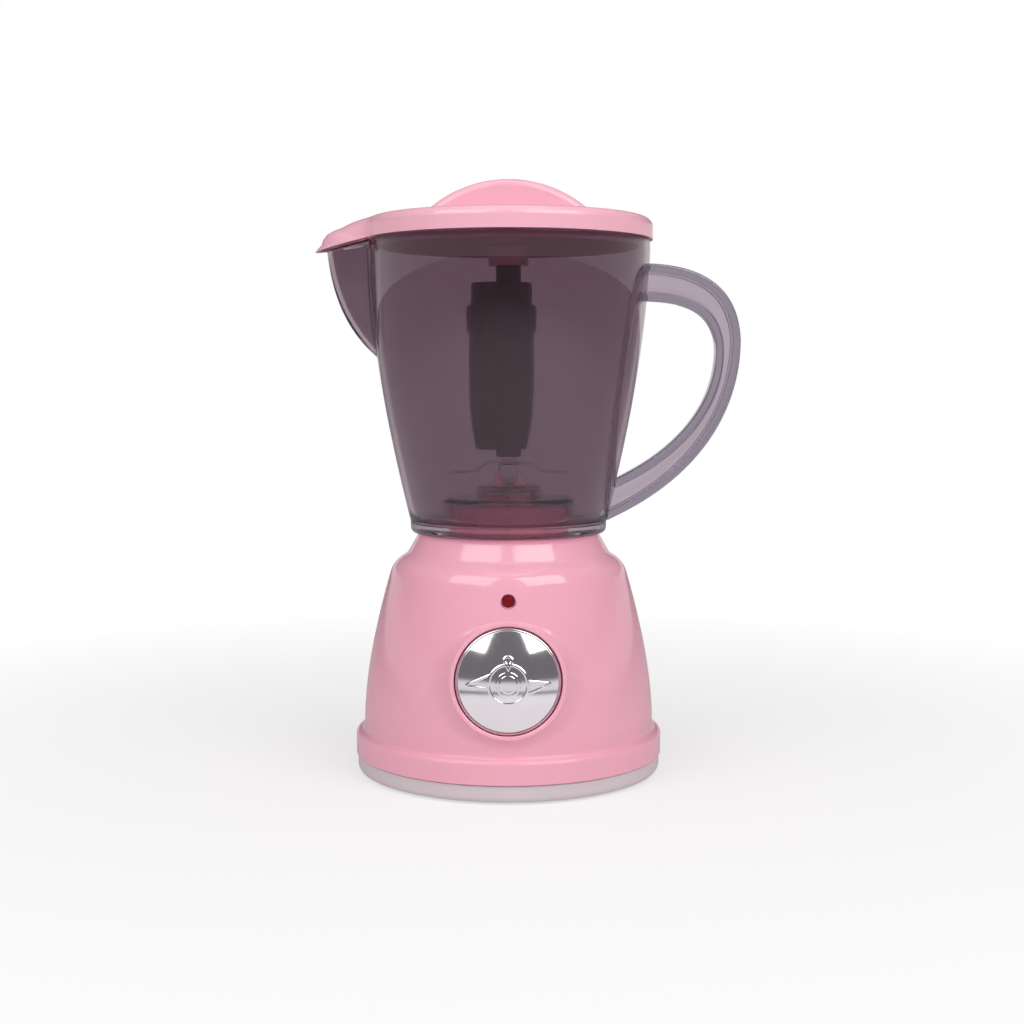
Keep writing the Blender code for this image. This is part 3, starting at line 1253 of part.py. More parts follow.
def spout_levels(inset, edge_depth, back_depth):
    """The spout's levels from its foot to above the rim, drawn in by an inset."""
    curve = bend(
        (SPOUT_FOOT_REACH, SPOUT_FOOT_HEIGHT), (SPOUT_BELLY_REACH, SPOUT_BELLY_HEIGHT),
        (SPOUT_TIP_REACH, SPOUT_TIP_HEIGHT), SPOUT_LEVELS)
    side = jar_outer()
    levels = []
    for index, (reach, height) in enumerate(curve):
        share = index / SPOUT_LEVELS
        half_width = SPOUT_FOOT_HALF_WIDTH + (SPOUT_HALF_WIDTH - SPOUT_FOOT_HALF_WIDTH) * share
        surface = radius_at(side, height)
        edge = surface - edge_depth
        levels.append((
            height + inset, max(reach - inset, edge + RUNNING_GAP), edge, half_width - inset,
            surface - back_depth))
    levels.append((JAR_TOP + CUT_OVERRUN, *levels[-1][1:]))
    return levels


def jar_underside():
    """The jar's underside from its foot ring to the bush hole."""
    foot = JAR_FOOT_RADIUS - JAR_FOOT_ROUND - JAR_FOOT_RING / 2
    return [
        (foot, JAR_BOTTOM), (foot, JAR_FLOOR_TOP - JAR_FLOOR),
        (WELL_RADIUS, JAR_FLOOR_TOP - JAR_FLOOR), (WELL_RADIUS, WELL_CEILING),
        (STEP_RADIUS, WELL_CEILING), (STEP_RADIUS, STEP_CEILING),
        (BUSH_HOLE_RADIUS, STEP_CEILING),
    ]


def jar_inside():
    """The jar's inner surface from the bush hole to the mouth."""
    well_side = WELL_RADIUS + JAR_FLOOR
    points = [
        (BUSH_HOLE_RADIUS, STEP_TOP), (STEP_RADIUS + JAR_FLOOR, STEP_TOP),
        (STEP_RADIUS + JAR_FLOOR, WELL_TOP),
    ]
    points += arc((well_side - WELL_ROUND, WELL_TOP - WELL_ROUND), WELL_ROUND, 90, 0, 2)
    points += [
        (well_side, JAR_FLOOR_TOP),
        (JAR_FOOT_RADIUS - JAR_WALL - WELL_ROUND, JAR_FLOOR_TOP),
    ]
    points += jar_side(-JAR_WALL)[::-1]
    points.append((JAR_MOUTH_RADIUS, JAR_TOP))
    return points


def slanted_top(name, reach, height, drop, run):
    """A cutter above a plane that falls away from the axis towards -X."""
    slope = math.atan2(drop, run)
    place = Matrix.Translation((-reach, 0, height)) @ Matrix.Rotation(-slope, 4, "Y")
    return block(
        name, (-2 * run, -JAR_TOP_RADIUS, 0), (2 * run, JAR_TOP_RADIUS, run), transform=place)


def build_jar():
    jar = turned("jar_shell", jar_outer() + jar_underside() + jar_inside(), SMOKE_CLEAR)
    spout = lobe("spout_outside", spout_levels(0, TOUCH_GAP, JAR_WALL / 2))
    cut(spout, slanted_top(
        "mouth_cutter", JAR_MOUTH_RADIUS, JAR_TOP - SPOUT_MOUTH_STEP, SPOUT_MOUTH_DROP,
        SPOUT_TIP_REACH - JAR_MOUTH_RADIUS))
    join(jar, baked(spout))
    cut(jar, lobe(
        "spout_inside",
        spout_levels(SPOUT_WALL, JAR_WALL + TOUCH_GAP, JAR_WALL + SPOUT_WALL)))
    baked(jar)


def offset_line(points, distance):
    """The line moved sideways, positive to the left of its direction."""
    moved = []
    for index, (across, along) in enumerate(points):
        before = points[max(index - 1, 0)]
        after = points[min(index + 1, len(points) - 1)]
        run = (after[0] - before[0], after[1] - before[1])
        size = math.hypot(*run)
        moved.append((across - run[1] / size * distance, along + run[0] / size * distance))
    return moved


def build_handle():
    outer = cubic(HANDLE_TOP_OUTER, HANDLE_STEPS) + cubic(HANDLE_LOW_OUTER, HANDLE_STEPS)[1:]
    inner = cubic(HANDLE_TOP_INNER, HANDLE_STEPS) + cubic(HANDLE_LOW_INNER, HANDLE_STEPS)[1:]
    upright = Matrix.Rotation(math.pi / 2, 4, "X")
    handle = extruded(
        "jar_handle", [outer + inner[::-1]], -HANDLE_WEB_DEPTH / 2, HANDLE_WEB_DEPTH / 2,
        SMOKE_CLEAR, upright)
    rails = (
        ("outer_rail", outer + offset_line(outer, -HANDLE_RAIL_WIDTH)[::-1]),
        ("inner_rail", offset_line(inner, HANDLE_RAIL_WIDTH) + inner[::-1]),
    )
    for name, outline in rails:
        join(handle, extruded(
            name, [outline], -HANDLE_RAIL_DEPTH / 2, HANDLE_RAIL_DEPTH / 2, transform=upright))
    for name, high, low in (
        ("top_pad", HANDLE_TOP_OUTER[0][1], HANDLE_TOP_INNER[0][1]),
        ("low_pad", HANDLE_LOW_INNER[-1][1], HANDLE_LOW_OUTER[-1][1]),
    ):
        pad = block(
            name, (HANDLE_LOW_OUTER[-1][0], -PAD_HALF_WIDTH, low - PAD_OVERHANG),
            (LID_RADIUS + PAD_DEPTH, PAD_HALF_WIDTH, high + PAD_OVERHANG))
        skin = [(0, JAR_TOP)] + jar_outer(PAD_DEPTH) + [(0, JAR_BOTTOM - PAD_DEPTH)]
        combine(pad, turned(name + "_skin", skin), "INTERSECT")
        join(handle, baked(pad))
    keep_out = [(0, JAR_TOP + CUT_OVERRUN)] + jar_outer(TOUCH_GAP)
    keep_out.append((0, JAR_BOTTOM - TOUCH_GAP))
    cut(handle, turned("jar_keep_out", keep_out))
    cut(handle, block(
        "base_keep_out", (0, -PAD_HALF_WIDTH * 2, DECK_HEIGHT - DECK_ROUND),
        (LID_RADIUS, PAD_HALF_WIDTH * 2, JAR_BOTTOM + JAR_RIM_ROUND)))
    baked(handle)


def fin_section(along, radius):
    """The lid fin's half-moon outline at one place across its thickness."""
    centre = FIN_TOP - FIN_RADIUS
    half = math.acos((FIN_ROOT - centre) / radius)
    points = []
    for step in range(FIN_STEPS + 1):
        angle = half * (2 * step / FIN_STEPS - 1)
        points.append((radius * math.sin(angle), along, centre + radius * math.cos(angle)))
    return points


def build_fin():
    sections = []
    flat = FIN_THICKNESS / 2 - FIN_ROUND
    for index in range(3 + 1):
        angle = math.radians(90 - 90 * index / 3)
        sections.append(fin_section(
            -flat - FIN_ROUND * math.sin(angle), FIN_RADIUS - FIN_ROUND * (1 - math.cos(angle))))
    sections += [[(x, -y, z) for x, y, z in section] for section in sections[::-1]]
    return loft("lid_fin", sections)


def lid_outer():
    """The lid's outer side from the middle of its dome to its lower edge."""
    points = bend(
        (0, LID_DOME_TOP), ((LID_RADIUS - LID_CORNER_ROUND) / 2, LID_DOME_TOP),
        (LID_RADIUS - LID_CORNER_ROUND, LID_EDGE_TOP), 3)
    points += arc(
        (LID_RADIUS - LID_CORNER_ROUND, LID_EDGE_TOP - LID_CORNER_ROUND), LID_CORNER_ROUND,
        90, 0, 4)[1:]
    points.append((LID_RADIUS, LID_LOW))
    return points


def beak_levels():
    """The lid's beak from below its edge up to its brow."""
    curve = bend(
        (BEAK_ROOT_REACH, BEAK_ROOT_HEIGHT), (BEAK_BROW_REACH, BEAK_BROW_HEIGHT),
        (BEAK_TIP_REACH, BEAK_TIP_HEIGHT), SPOUT_LEVELS)
    side = lid_outer()
    levels = []
    for reach, height in [(BEAK_TIP_REACH, BEAK_TIP_HEIGHT - PLUG_DEPTH)] + curve[::-1]:
        surface = radius_at(side, height)
        edge = surface - TOUCH_GAP
        levels.append((
            height, max(reach, edge + RUNNING_GAP), edge, BEAK_HALF_WIDTH,
            surface - LID_WALL / 2))
    return levels


def hollow_levels():
    """The hollow under the beak, from below its edge up to near its brow."""
    levels = []
    edge = LID_RADIUS + BEAK_SIDE_GAP
    for height, reach, _, half_width, _ in beak_levels():
        top = height - BEAK_WALL
        if reach - BEAK_WALL > edge + BEAK_WALL:
            levels.append((
                top, reach - BEAK_WALL, edge, half_width * BEAK_HOLLOW_SHARE,
                LID_RADIUS + RUNNING_GAP))
    return levels


def build_lid():
    plug = JAR_MOUTH_RADIUS - PLUG_GAP
    roof = LID_EDGE_TOP - LID_WALL
    skirt = LID_RADIUS - LID_WALL
    outline = lid_outer() + [
        (plug, LID_LOW), (plug, LID_LOW - PLUG_DEPTH), (plug - PLUG_WALL, LID_LOW - PLUG_DEPTH),
        (plug - PLUG_WALL, LID_LOW + LID_WALL), (skirt, LID_LOW + LID_WALL),
        (skirt, LID_EDGE_TOP - LID_CORNER_ROUND), (LID_RADIUS - LID_CORNER_ROUND, roof),
        (LID_BOSS_RADIUS, LID_DOME_TOP - LID_WALL), (LID_BOSS_RADIUS, LID_SOCKET_TOP),
        (LID_SOCKET_RADIUS, LID_SOCKET_TOP), (LID_SOCKET_RADIUS, LID_SOCKET_BOTTOM),
        (ROD_RADIUS + RUNNING_GAP, LID_SOCKET_BOTTOM),
        (ROD_RADIUS + RUNNING_GAP, LID_SOCKET_BOTTOM + LID_SOCKET_DEPTH),
        (0, LID_SOCKET_BOTTOM + LID_SOCKET_DEPTH),
    ]
    lid = turned("lid_shell", outline, LID_PLASTIC)
    join(lid, build_fin())
    beak = lobe("lid_beak", beak_levels())
    cut(beak, lobe("beak_hollow", hollow_levels()))
    tilt = Matrix.Translation((-BEAK_EDGE_REACH, 0, BEAK_EDGE_HEIGHT))
    cut(beak, block(
        "beak_edge_cutter", (-BEAK_TIP_REACH, -LID_RADIUS, -LID_RADIUS),
        (BEAK_TIP_REACH, LID_RADIUS, 0),
        transform=tilt @ Matrix.Rotation(-BEAK_EDGE_SLOPE, 4, "Y")))
    join(lid, baked(beak))
    baked(lid)


def build_rod_and_strainer():
    rod_top = LID_SOCKET_BOTTOM + LID_SOCKET_DEPTH - TOUCH_GAP
    ledge = SLEEVE_COLLAR_BOTTOM - SLEEVE_LEDGE
    stop_top = ledge - TOUCH_GAP
    turned("plunger_rod", [
        (0, rod_top), (ROD_RADIUS, rod_top), (ROD_RADIUS, stop_top),
        (ROD_STOP_RADIUS, stop_top), (ROD_STOP_RADIUS, stop_top - ROD_STOP_THICKNESS),
        (ROD_RADIUS, stop_top - ROD_STOP_THICKNESS), (ROD_RADIUS, ROD_LOW + ROD_ROUND),
        (ROD_RADIUS - ROD_ROUND, ROD_LOW), (0, ROD_LOW),
    ], DARK_PLASTIC, SMALL_STEPS)
    bore = ROD_RADIUS + SLEEVE_ROD_GAP - SLEEVE_OFFSET
    basket = bend(
        (SLEEVE_BASKET_RADIUS, SLEEVE_COLLAR_BOTTOM), (SLEEVE_BELLY_RADIUS, SLEEVE_BELLY_HEIGHT),
        (SLEEVE_FOOT_RADIUS, SLEEVE_BOTTOM), 4)
    collar = SLEEVE_COLLAR_RADIUS - SLEEVE_COLLAR_ROUND
    outline = [(SLEEVE_NECK_RADIUS, SLEEVE_NECK_TOP), (SLEEVE_NECK_RADIUS, SLEEVE_COLLAR_TOP)]
    outline += arc(
        (collar, SLEEVE_COLLAR_TOP - SLEEVE_COLLAR_ROUND), SLEEVE_COLLAR_ROUND, 60, 0, 2)
    outline += arc(
        (collar, SLEEVE_COLLAR_BOTTOM + SLEEVE_COLLAR_ROUND), SLEEVE_COLLAR_ROUND, 0, -60, 2)
    outline += basket
    outline += [(bore, SLEEVE_BOTTOM), (bore, SLEEVE_BOTTOM + SLEEVE_WALL)]
    outline += [
        (radius - SLEEVE_WALL, height + SLEEVE_WALL) for radius, height in basket[::-1][:-1]]
    outline += [
        (SLEEVE_BASKET_RADIUS - SLEEVE_WALL, ledge), (bore, ledge), (bore, SLEEVE_NECK_TOP)]
    turned(
        "strainer_sleeve", outline, DARK_SMOKE, SMALL_STEPS,
        Matrix.Translation((SLEEVE_OFFSET, 0, 0)))


def blade(name, plateau_top, plateau_half, bend_reach, drop, reach, turn):
    """A hat-shaped strip with pointed ends and a hole for the hub's pin."""
    top = [
        (-reach, plateau_top - drop), (-bend_reach, plateau_top - drop),
        (-plateau_half, plateau_top), (plateau_half, plateau_top),
        (bend_reach, plateau_top - drop), (reach, plateau_top - drop),
    ]
    outline = top + [(across, height - BLADE_THICKNESS) for across, height in top[::-1]]
    frame = shift_rotation((0, 0), turn)
    strip = extruded(
        name, [outline], -BLADE_WIDTH / 2, BLADE_WIDTH / 2, BLADE_METAL,
        frame @ Matrix.Rotation(math.pi / 2, 4, "X"))
    plan = [
        (-reach - CUT_OVERRUN, -BLADE_WIDTH / 4), (-bend_reach, -BLADE_WIDTH),
        (bend_reach, -BLADE_WIDTH / 3), (reach, -BLADE_WIDTH / 3),
        (reach + CUT_OVERRUN, BLADE_WIDTH / 4), (bend_reach, BLADE_WIDTH),
        (-bend_reach, BLADE_WIDTH / 3), (-reach, BLADE_WIDTH / 3),
    ]
    combine(strip, extruded(
        name + "_plan", [plan], HUB_TOP - CAP_HEIGHT, plateau_top + CUT_OVERRUN,
        transform=frame), "INTERSECT")
    cut(strip, rod(
        name + "_hole", HUB_PIN_RADIUS + TOUCH_GAP, plateau_top - CUT_OVERRUN,
        plateau_top + CUT_OVERRUN, transform=frame))
    baked(strip)


def build_blades():
    upper_top = BLADE_PLATEAU_HEIGHT
    lower_top = upper_top - BLADE_THICKNESS - TOUCH_GAP
    shoulder_top = lower_top - BLADE_THICKNESS - TOUCH_GAP
    head_low = upper_top + TOUCH_GAP
    disc_low = STEP_TOP + HUB_GAP
    disc_top = disc_low + HUB_DISC
    dome = []
    for step in range(4 + 1):
        angle = math.radians(90 * step / 4)
        dome.append((
            HUB_SHOULDER_RADIUS + (CAP_RADIUS - HUB_SHOULDER_RADIUS) * math.sin(angle),
            disc_top + CAP_HEIGHT * math.cos(angle),
        ))
    bore = BLADE_SHAFT_RADIUS + RUNNING_GAP
    shaft_top = disc_top + BLADE_SHAFT_REACH
    turned("blade_hub", [
        (0, head_low + HUB_PIN_HEAD), (HUB_PIN_HEAD_RADIUS, head_low + HUB_PIN_HEAD),
        (HUB_PIN_HEAD_RADIUS, head_low), (HUB_PIN_RADIUS, head_low),
        (HUB_PIN_RADIUS, shoulder_top), (HUB_SHOULDER_RADIUS, shoulder_top), *dome,
        (HUB_RADIUS, disc_top), (HUB_RADIUS, disc_low), (bore, disc_low),
        (bore, shaft_top + TOUCH_GAP), (0, shaft_top + TOUCH_GAP),
    ], LID_PLASTIC, SMALL_STEPS)
    rod(
        "blade_shaft", BLADE_SHAFT_RADIUS, BLADE_COUPLING_TOP - COUPLING_DISC, shaft_top,
        STEEL_METAL)
    blade(
        "upper_blade", upper_top, UPPER_PLATEAU_HALF, UPPER_BEND_REACH, UPPER_DROP,
        BLADE_REACH, 0)
    blade(
        "lower_blade", lower_top, LOWER_PLATEAU_HALF, LOWER_BEND_REACH, LOWER_DROP,
        LOWER_REACH, math.pi / 2)


# Places worked out from the sizes above
KNOB_FRAME = (
    Matrix.Translation((0, -KNOB_WALL_RADIUS, KNOB_HEIGHT))
    @ Matrix.Rotation(math.pi / 2 - KNOB_TILT, 4, "X")
)
LAMP_FRAME = (
    Matrix.Translation((0, -LAMP_WALL_RADIUS, LAMP_HEIGHT)) @ Matrix.Rotation(math.pi / 2, 4, "X")
)
SWITCH_FACE = -RECESS_DEPTH - RECESS_FLOOR - TOUCH_GAP
DOOR_TOP = PLATE_BOTTOM + DOOR_THICKNESS
DOOR_HEAD_TOP = PLATE_BOTTOM + DOOR_THICKNESS / 2
CELL_HEIGHT = DOOR_TOP + CELL_SIDE_GAP + CELL_RADIUS
BAY_CEILING = CELL_HEIGHT + CELL_RADIUS + CELL_SIDE_GAP
BAY_HALF_LENGTH = (CELL_LENGTH + CELL_NUB) / 2 + BAY_END_SPACE
BAY_REAR = BAY_FRONT + 4 * CELL_RADIUS + CELL_GAP + 2 * CELL_SIDE_GAP
CELL_PLACES = (
    BAY_FRONT + CELL_SIDE_GAP + CELL_RADIUS,
    BAY_REAR - CELL_SIDE_GAP - CELL_RADIUS,
)
DOOR_SCREW_PLACE = (0, BAY_REAR + DOOR_LEDGE + DOOR_TAB_REACH / 2)
PLATE_PAD_TOP = PLATE_BOTTOM + PLATE_WALL + SCREW_HEAD + SCREW_CLEARANCE
CASE_HEAD_TOP = PLATE_BOTTOM + SCREW_CLEARANCE + SCREW_HEAD
CASE_SCREW_TOP = CASE_HEAD_TOP + CASE_SCREW_LENGTH
CENTRE_DISTANCE = MODULE * (PINION_TEETH + WHEEL_TEETH) / 2
IDLER_PLACE = (
    CENTRE_DISTANCE * math.cos(IDLER_ANGLE), CENTRE_DISTANCE * math.sin(IDLER_ANGLE))
MOTOR_PLACE = (
    IDLER_PLACE[0] + CENTRE_DISTANCE * math.cos(MOTOR_ANGLE),
    IDLER_PLACE[1] + CENTRE_DISTANCE * math.sin(MOTOR_ANGLE),
)
WHEEL_TIP = MODULE * (WHEEL_TEETH / 2 + ADDENDUM_SHARE)
WHEEL_ROOT = MODULE * (WHEEL_TEETH / 2 - DEDENDUM_SHARE)
PINION_TIP = MODULE * (PINION_TEETH / 2 + ADDENDUM_SHARE)
GEAR_CEILING = GEAR_FLOOR + 2 * WHEEL_WIDTH + 4 * GEAR_END_GAP
GEAR_ROOF = GEAR_CEILING + TOUCH_GAP + CASE_ROOF
CASE_LOW = GEAR_FLOOR - CASE_FLOOR
GEAR_SCREW_TOP = CASE_LOW - TOUCH_GAP + GEAR_SCREW_LENGTH
MOTOR_TOP = CASE_LOW - TOUCH_GAP
COUPLING_LOW = BOSS_TOP + SCREW_CLEARANCE
WELL_RADIUS = BOSS_RADIUS + WELL_GAP
WELL_CEILING = BOSS_TOP + WELL_HEADROOM
WELL_TOP = WELL_CEILING + JAR_FLOOR
STEP_RADIUS = COUPLING_RADIUS + STEP_GAP
STEP_CEILING = WELL_CEILING + STEP_HEIGHT
STEP_TOP = STEP_CEILING + JAR_FLOOR
BLADE_COUPLING_TOP = STEP_CEILING - TOUCH_GAP
JAR_FLOOR_TOP = JAR_BOTTOM + JAR_FOOT_RECESS + JAR_FLOOR
JAR_MOUTH_RADIUS = JAR_TOP_RADIUS - JAR_WALL
LID_LOW = JAR_TOP + TOUCH_GAP
FIN_ROOT = LID_EDGE_TOP + LID_WALL / 2
HUB_TOP = STEP_TOP + HUB_GAP + HUB_DISC + CAP_HEIGHT
BLADE_PLATEAU_HEIGHT = HUB_TOP + BLADE_STAND
ROD_LOW = BLADE_PLATEAU_HEIGHT + TOUCH_GAP + HUB_PIN_HEAD + ROD_END_GAP

clear_scene()
PARTS = new_collection("toy_blender")
CUTTERS = new_collection("toy_blender_cutters")
PINK_PLASTIC = material("pink_plastic", PINK, 0.22)
LID_PLASTIC = material("lid_pink_plastic", LID_PINK, 0.24)
WHITE_PLASTIC = material("white_plastic", WARM_WHITE, 0.40)
SMOKE_CLEAR = material("smoke_clear", SMOKE, 0.08, alpha=0.45)
DARK_SMOKE = material("dark_smoke", DARK, 0.20, alpha=0.80)
DARK_PLASTIC = material("dark_plastic", DARK, 0.35)
CHROME_PLATING = material("chrome_plating", CHROME, 0.08, 1.0)
BLADE_METAL = material("blade_metal", STEEL, 0.25, 1.0)
STEEL_METAL = material("steel_metal", STEEL, 0.35, 1.0)
BRIGHT_METAL = material("bright_metal", STEEL, 0.30, 1.0)
BRASS_METAL = material("brass_metal", BRASS, 0.35, 1.0)
GREEN_BOARD = material("green_board", GREEN, 0.50)
RED_LENS = material("red_lens", RED, 0.12)
BLACK_PLASTIC = material("black_plastic", BLACK, 0.45)
NATURAL_PLASTIC = material("natural_plastic", NATURAL, 0.45)
CELL_SKIN = material("cell_skin", CELL_BLUE, 0.35)

baked(build_base_shell())
build_base_plate()
build_case_screws()
build_battery_door()
build_cells()
build_knob()
build_lamp()
build_gearbox()
build_gear_train()
build_motor()
build_couplings()
build_jar()
build_handle()
build_blades()
build_lid()
build_rod_and_strainer()
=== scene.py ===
"""The look of the toy blender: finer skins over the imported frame, materials, light and camera."""

import math

import bmesh
import bpy
import numpy as np
from mathutils import Matrix, Vector


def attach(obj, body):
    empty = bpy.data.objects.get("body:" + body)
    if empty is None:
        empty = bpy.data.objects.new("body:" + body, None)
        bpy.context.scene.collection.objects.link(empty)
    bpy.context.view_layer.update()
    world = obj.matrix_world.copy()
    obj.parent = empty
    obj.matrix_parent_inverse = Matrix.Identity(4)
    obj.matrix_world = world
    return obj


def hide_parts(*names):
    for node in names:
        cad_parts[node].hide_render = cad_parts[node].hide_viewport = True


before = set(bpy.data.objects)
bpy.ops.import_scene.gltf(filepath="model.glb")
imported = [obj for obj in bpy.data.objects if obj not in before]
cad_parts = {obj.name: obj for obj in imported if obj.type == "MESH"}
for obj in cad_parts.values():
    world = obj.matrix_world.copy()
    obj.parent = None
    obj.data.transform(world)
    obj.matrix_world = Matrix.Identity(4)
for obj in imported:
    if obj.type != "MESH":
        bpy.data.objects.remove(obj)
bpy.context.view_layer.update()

# Sizes in metres; the object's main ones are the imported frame's
SKIN_GAP = 0.00003
WELD = 0.000002
CREASE = math.radians(38)
AXIS_RADIUS = 0.00001
SETTLE_STEPS = 34
SPOUT_SIDE = math.pi
FRONT_SIDE = -math.pi / 2

# Steps round each piece: half of the fine part, the fine step and the coarse step
BASE_TURN = (math.radians(36), math.radians(0.8), math.radians(2.4))
JAR_TURN = (math.radians(23), math.radians(0.75), math.radians(2.5))
LID_TURN = (math.radians(25), math.radians(0.6), math.radians(2.5))

SEAM_HEIGHT = 0.0076
FLANGE_RADIUS = 0.0614
FLANGE_TOP = 0.0165
FLANGE_ROUND = 0.0016
FLANGE_SLOPE = 0.0003
BELL_FOOT_RADIUS = 0.0580
BELL_FOOT_HEIGHT = 0.0190
BELL_TOP_RADIUS = 0.0479
BELL_TOP_HEIGHT = 0.0780
BELL_SWELL_RADIUS = 0.0582
BELL_SWELL_HEIGHT = 0.0420
SHOULDER = ((0.0420, 0.0863), (0.0458, 0.0840), (0.0468, 0.0820), (0.0479, 0.0780))
NECK_RADIUS = 0.0400
NECK_FOOT_HEIGHT = 0.0882
NECK_CREASE = (0.0406, 0.08715)
NECK_TOP_RADIUS = 0.0367
DECK_HEIGHT = 0.0953
DECK_ROUND = 0.0018
BASE_WALL = 0.0021
BOSS_RADIUS = 0.0228
BOSS_TOP = 0.1062
BOSS_ROUND = 0.0025
BOSS_HOLE_RADIUS = 0.0070
BOSS_RIB_COUNT = 12
BOSS_RIB_WIDTH = 0.0012
BOSS_RIB_DEPTH = 0.0007
BOSS_RIB_SHARES = (0.6, 1.6)

KNOB_PLACE = (0, -0.0558, 0.0454)
KNOB_TILT = math.radians(9.5)
KNOB_RADIUS = 0.0197
KNOB_SUNK = 0.0010
KNOB_DOME = 0.0032
KNOB_SKIRT = 0.0045
KNOB_RIM = 0.0009
KNOB_RIM_ROUND = 0.0004
KNOB_RIM_SHARES = (0.7, 0.3, 0.08, 0.0)
KNOB_CENTRE = 0.0003
KNOB_WALL = 0.0016
# (Place from the edge, height) of the groove round the knob's face, and of its rim's edge
KNOB_GROOVE = ((-0.0001, 0), (0.0002, -0.0004), (0.0004, -0.00025))
KNOB_RIM_EDGE = ((-0.0003, -0.0003), (0, -0.0007))
RECESS_RADIUS = 0.0202
RECESS_LIP = 0.0006
RECESS_DEPTH = 0.0080
SHAFT_HOLE_RADIUS = 0.0045
PAD_RADIUS = 0.0216
PAD_BLEND = 0.0030
PAD_SLOPE = 1.3
PAD_TOP_BLEND = 0.0005
PAD_TOP_DROP = 0.0009
EMBLEM_DROP = 0.0011
RING_RADIUS = 0.0073
RING_HALF_WIDTH = 0.0006
RING_HEIGHT = 0.00017
RING_FLAT_SHARE = 0.4
HUB_RADII = (0.0047, 0.0034)
HUB_HEIGHT = 0.00010
HUB_EDGE = 0.00030
WING = ((0.0072, 0.0018), (0.0152, 0.0011), (0.0160, 0.0002), (0.0149, -0.0007), (0.0066, -0.0041))
WING_HEIGHT = 0.00014
WING_LINE = 0.00060
WING_PLATE_SHARE = 0.25
POINTER_RADIUS = 0.0020
POINTER_REACH = 0.0077
POINTER_LOW = 0.0034
POINTER_HEIGHT = 0.00020
POINTER_EDGE_SHARE = 0.2
POINTER_DIP_SHARES = (0.65, 0.35)
POINTER_DIP_DEPTH_SHARE = 0.6

LAMP_PLACE = (0, -0.0491, 0.0740)
LAMP_HOLE_RADIUS = 0.0029
LAMP_LIP = 0.0003
LAMP_DEPTH = 0.0024
LENS_RADIUS = 0.0024
LENS_BACK = -0.0050
LENS_LINE = (
    (0, -0.0014), (0.0006, -0.0014), (0.0008, -0.0011), (0.0011, -0.0011), (0.0013, -0.0014),
    (0.0018, -0.0015), (0.0022, -0.0018), (LENS_RADIUS, -0.0023), (LENS_RADIUS, LENS_BACK),
    (0, LENS_BACK))
LENS_SPACING = 0.0004
OPENING_SLACK = 0.0004
OPENING_LAP = 0.00008
KNOB_PATCH_RADIUS = 0.0230
LAMP_PATCH_RADIUS = 0.0040
PATCH_ROWS = 26

PLATE_RADIUS = 0.0608
PLATE_BOTTOM = 0.0008
PLATE_ROUND = 0.0036
PLATE_RIM_WALL = 0.0012

JAR_BOTTOM = 0.0956
JAR_TOP = 0.2109
JAR_TOP_RADIUS = 0.0560
JAR_BEAD_HEIGHT = 0.2070
JAR_SWELL_RADIUS = 0.0543
JAR_SWELL_HEIGHT = 0.1610
JAR_FOOT_RADIUS = 0.0392
JAR_FOOT_HEIGHT = 0.1004
JAR_FOOT_ROUND = 0.0048
JAR_RIM_ROUND = 0.0006
JAR_BEAD_TAPER = 0.0001
JAR_WALL = 0.0021
JAR_FLOOR_LOW = 0.0978
JAR_FLOOR_TOP = 0.0998
WELL_RADIUS = 0.0242
WELL_CEILING = 0.1078
STEP_RADIUS = 0.0107
STEP_CEILING = 0.1124
STEP_TOP = 0.1144
BUSH_HOLE_RADIUS = 0.0048
BUSH_EDGE = 0.0002
WELL_ROUND = 0.0022
WELL_WALL = 0.0020
WELL_EDGE = 0.0006
WELL_FOOT_ROUND = 0.0010
STEP_EDGE = 0.0005
STEP_TOP_ROUND = 0.0008
FOOT_TAPER = 0.0002
FOOT_RING_WIDTHS = (0.0015, 0.0019)
FOOT_RING_EDGE = 0.0005
FLOOR_INSET = 0.0010
FLOOR_SIDE = (0.0003, 0.0020)
INNER_START = 0.0025

SPOUT_FOOT = (0.0524, 0.1655)
SPOUT_BELLY = (0.0700, 0.1800)
SPOUT_TIP = (0.0720, 0.2100)
SPOUT_HALF_WIDTHS = (0.0080, 0.0185)
SPOUT_WALL = 0.0018
SPOUT_DROP = 0.0032
SPOUT_START = 0.1600
SPOUT_START_GAP = 0.0005
SPOUT_SINK = 0.0003
SPOUT_BLEND = 0.0003
SPOUT_STEPS = 60
MOUTH_DIP = 0.0005
MOUTH_DIP_SHARE = 0.3
RIM_SHARES = (0.25, 0.6, 1.0)

HANDLE_OUTER = (
    ((0.0500, 0.2022), (0.0660, 0.2022), (0.0905, 0.2000), (0.0920, 0.1720)),
    ((0.0920, 0.1720), (0.0920, 0.1400), (0.0720, 0.1140), (0.0360, 0.0990)))
HANDLE_INNER = (
    ((0.0500, 0.1874), (0.0660, 0.1874), (0.0815, 0.1860), (0.0822, 0.1680)),
    ((0.0822, 0.1680), (0.0820, 0.1460), (0.0670, 0.1270), (0.0370, 0.1145)))
RAIL_WIDTH = 0.0034
RAIL_DEPTH = 0.0090
RAIL_ROUND = 0.0011
RAIL_EDGE = 0.0005
WEB_DEPTH = 0.0022
WEB_FILLET = 0.0006
HANDLE_GAP = 0.00025
HANDLE_STEPS = 44
HANDLE_RUN_LEAST = 0.3
WALL_TRIES = 12

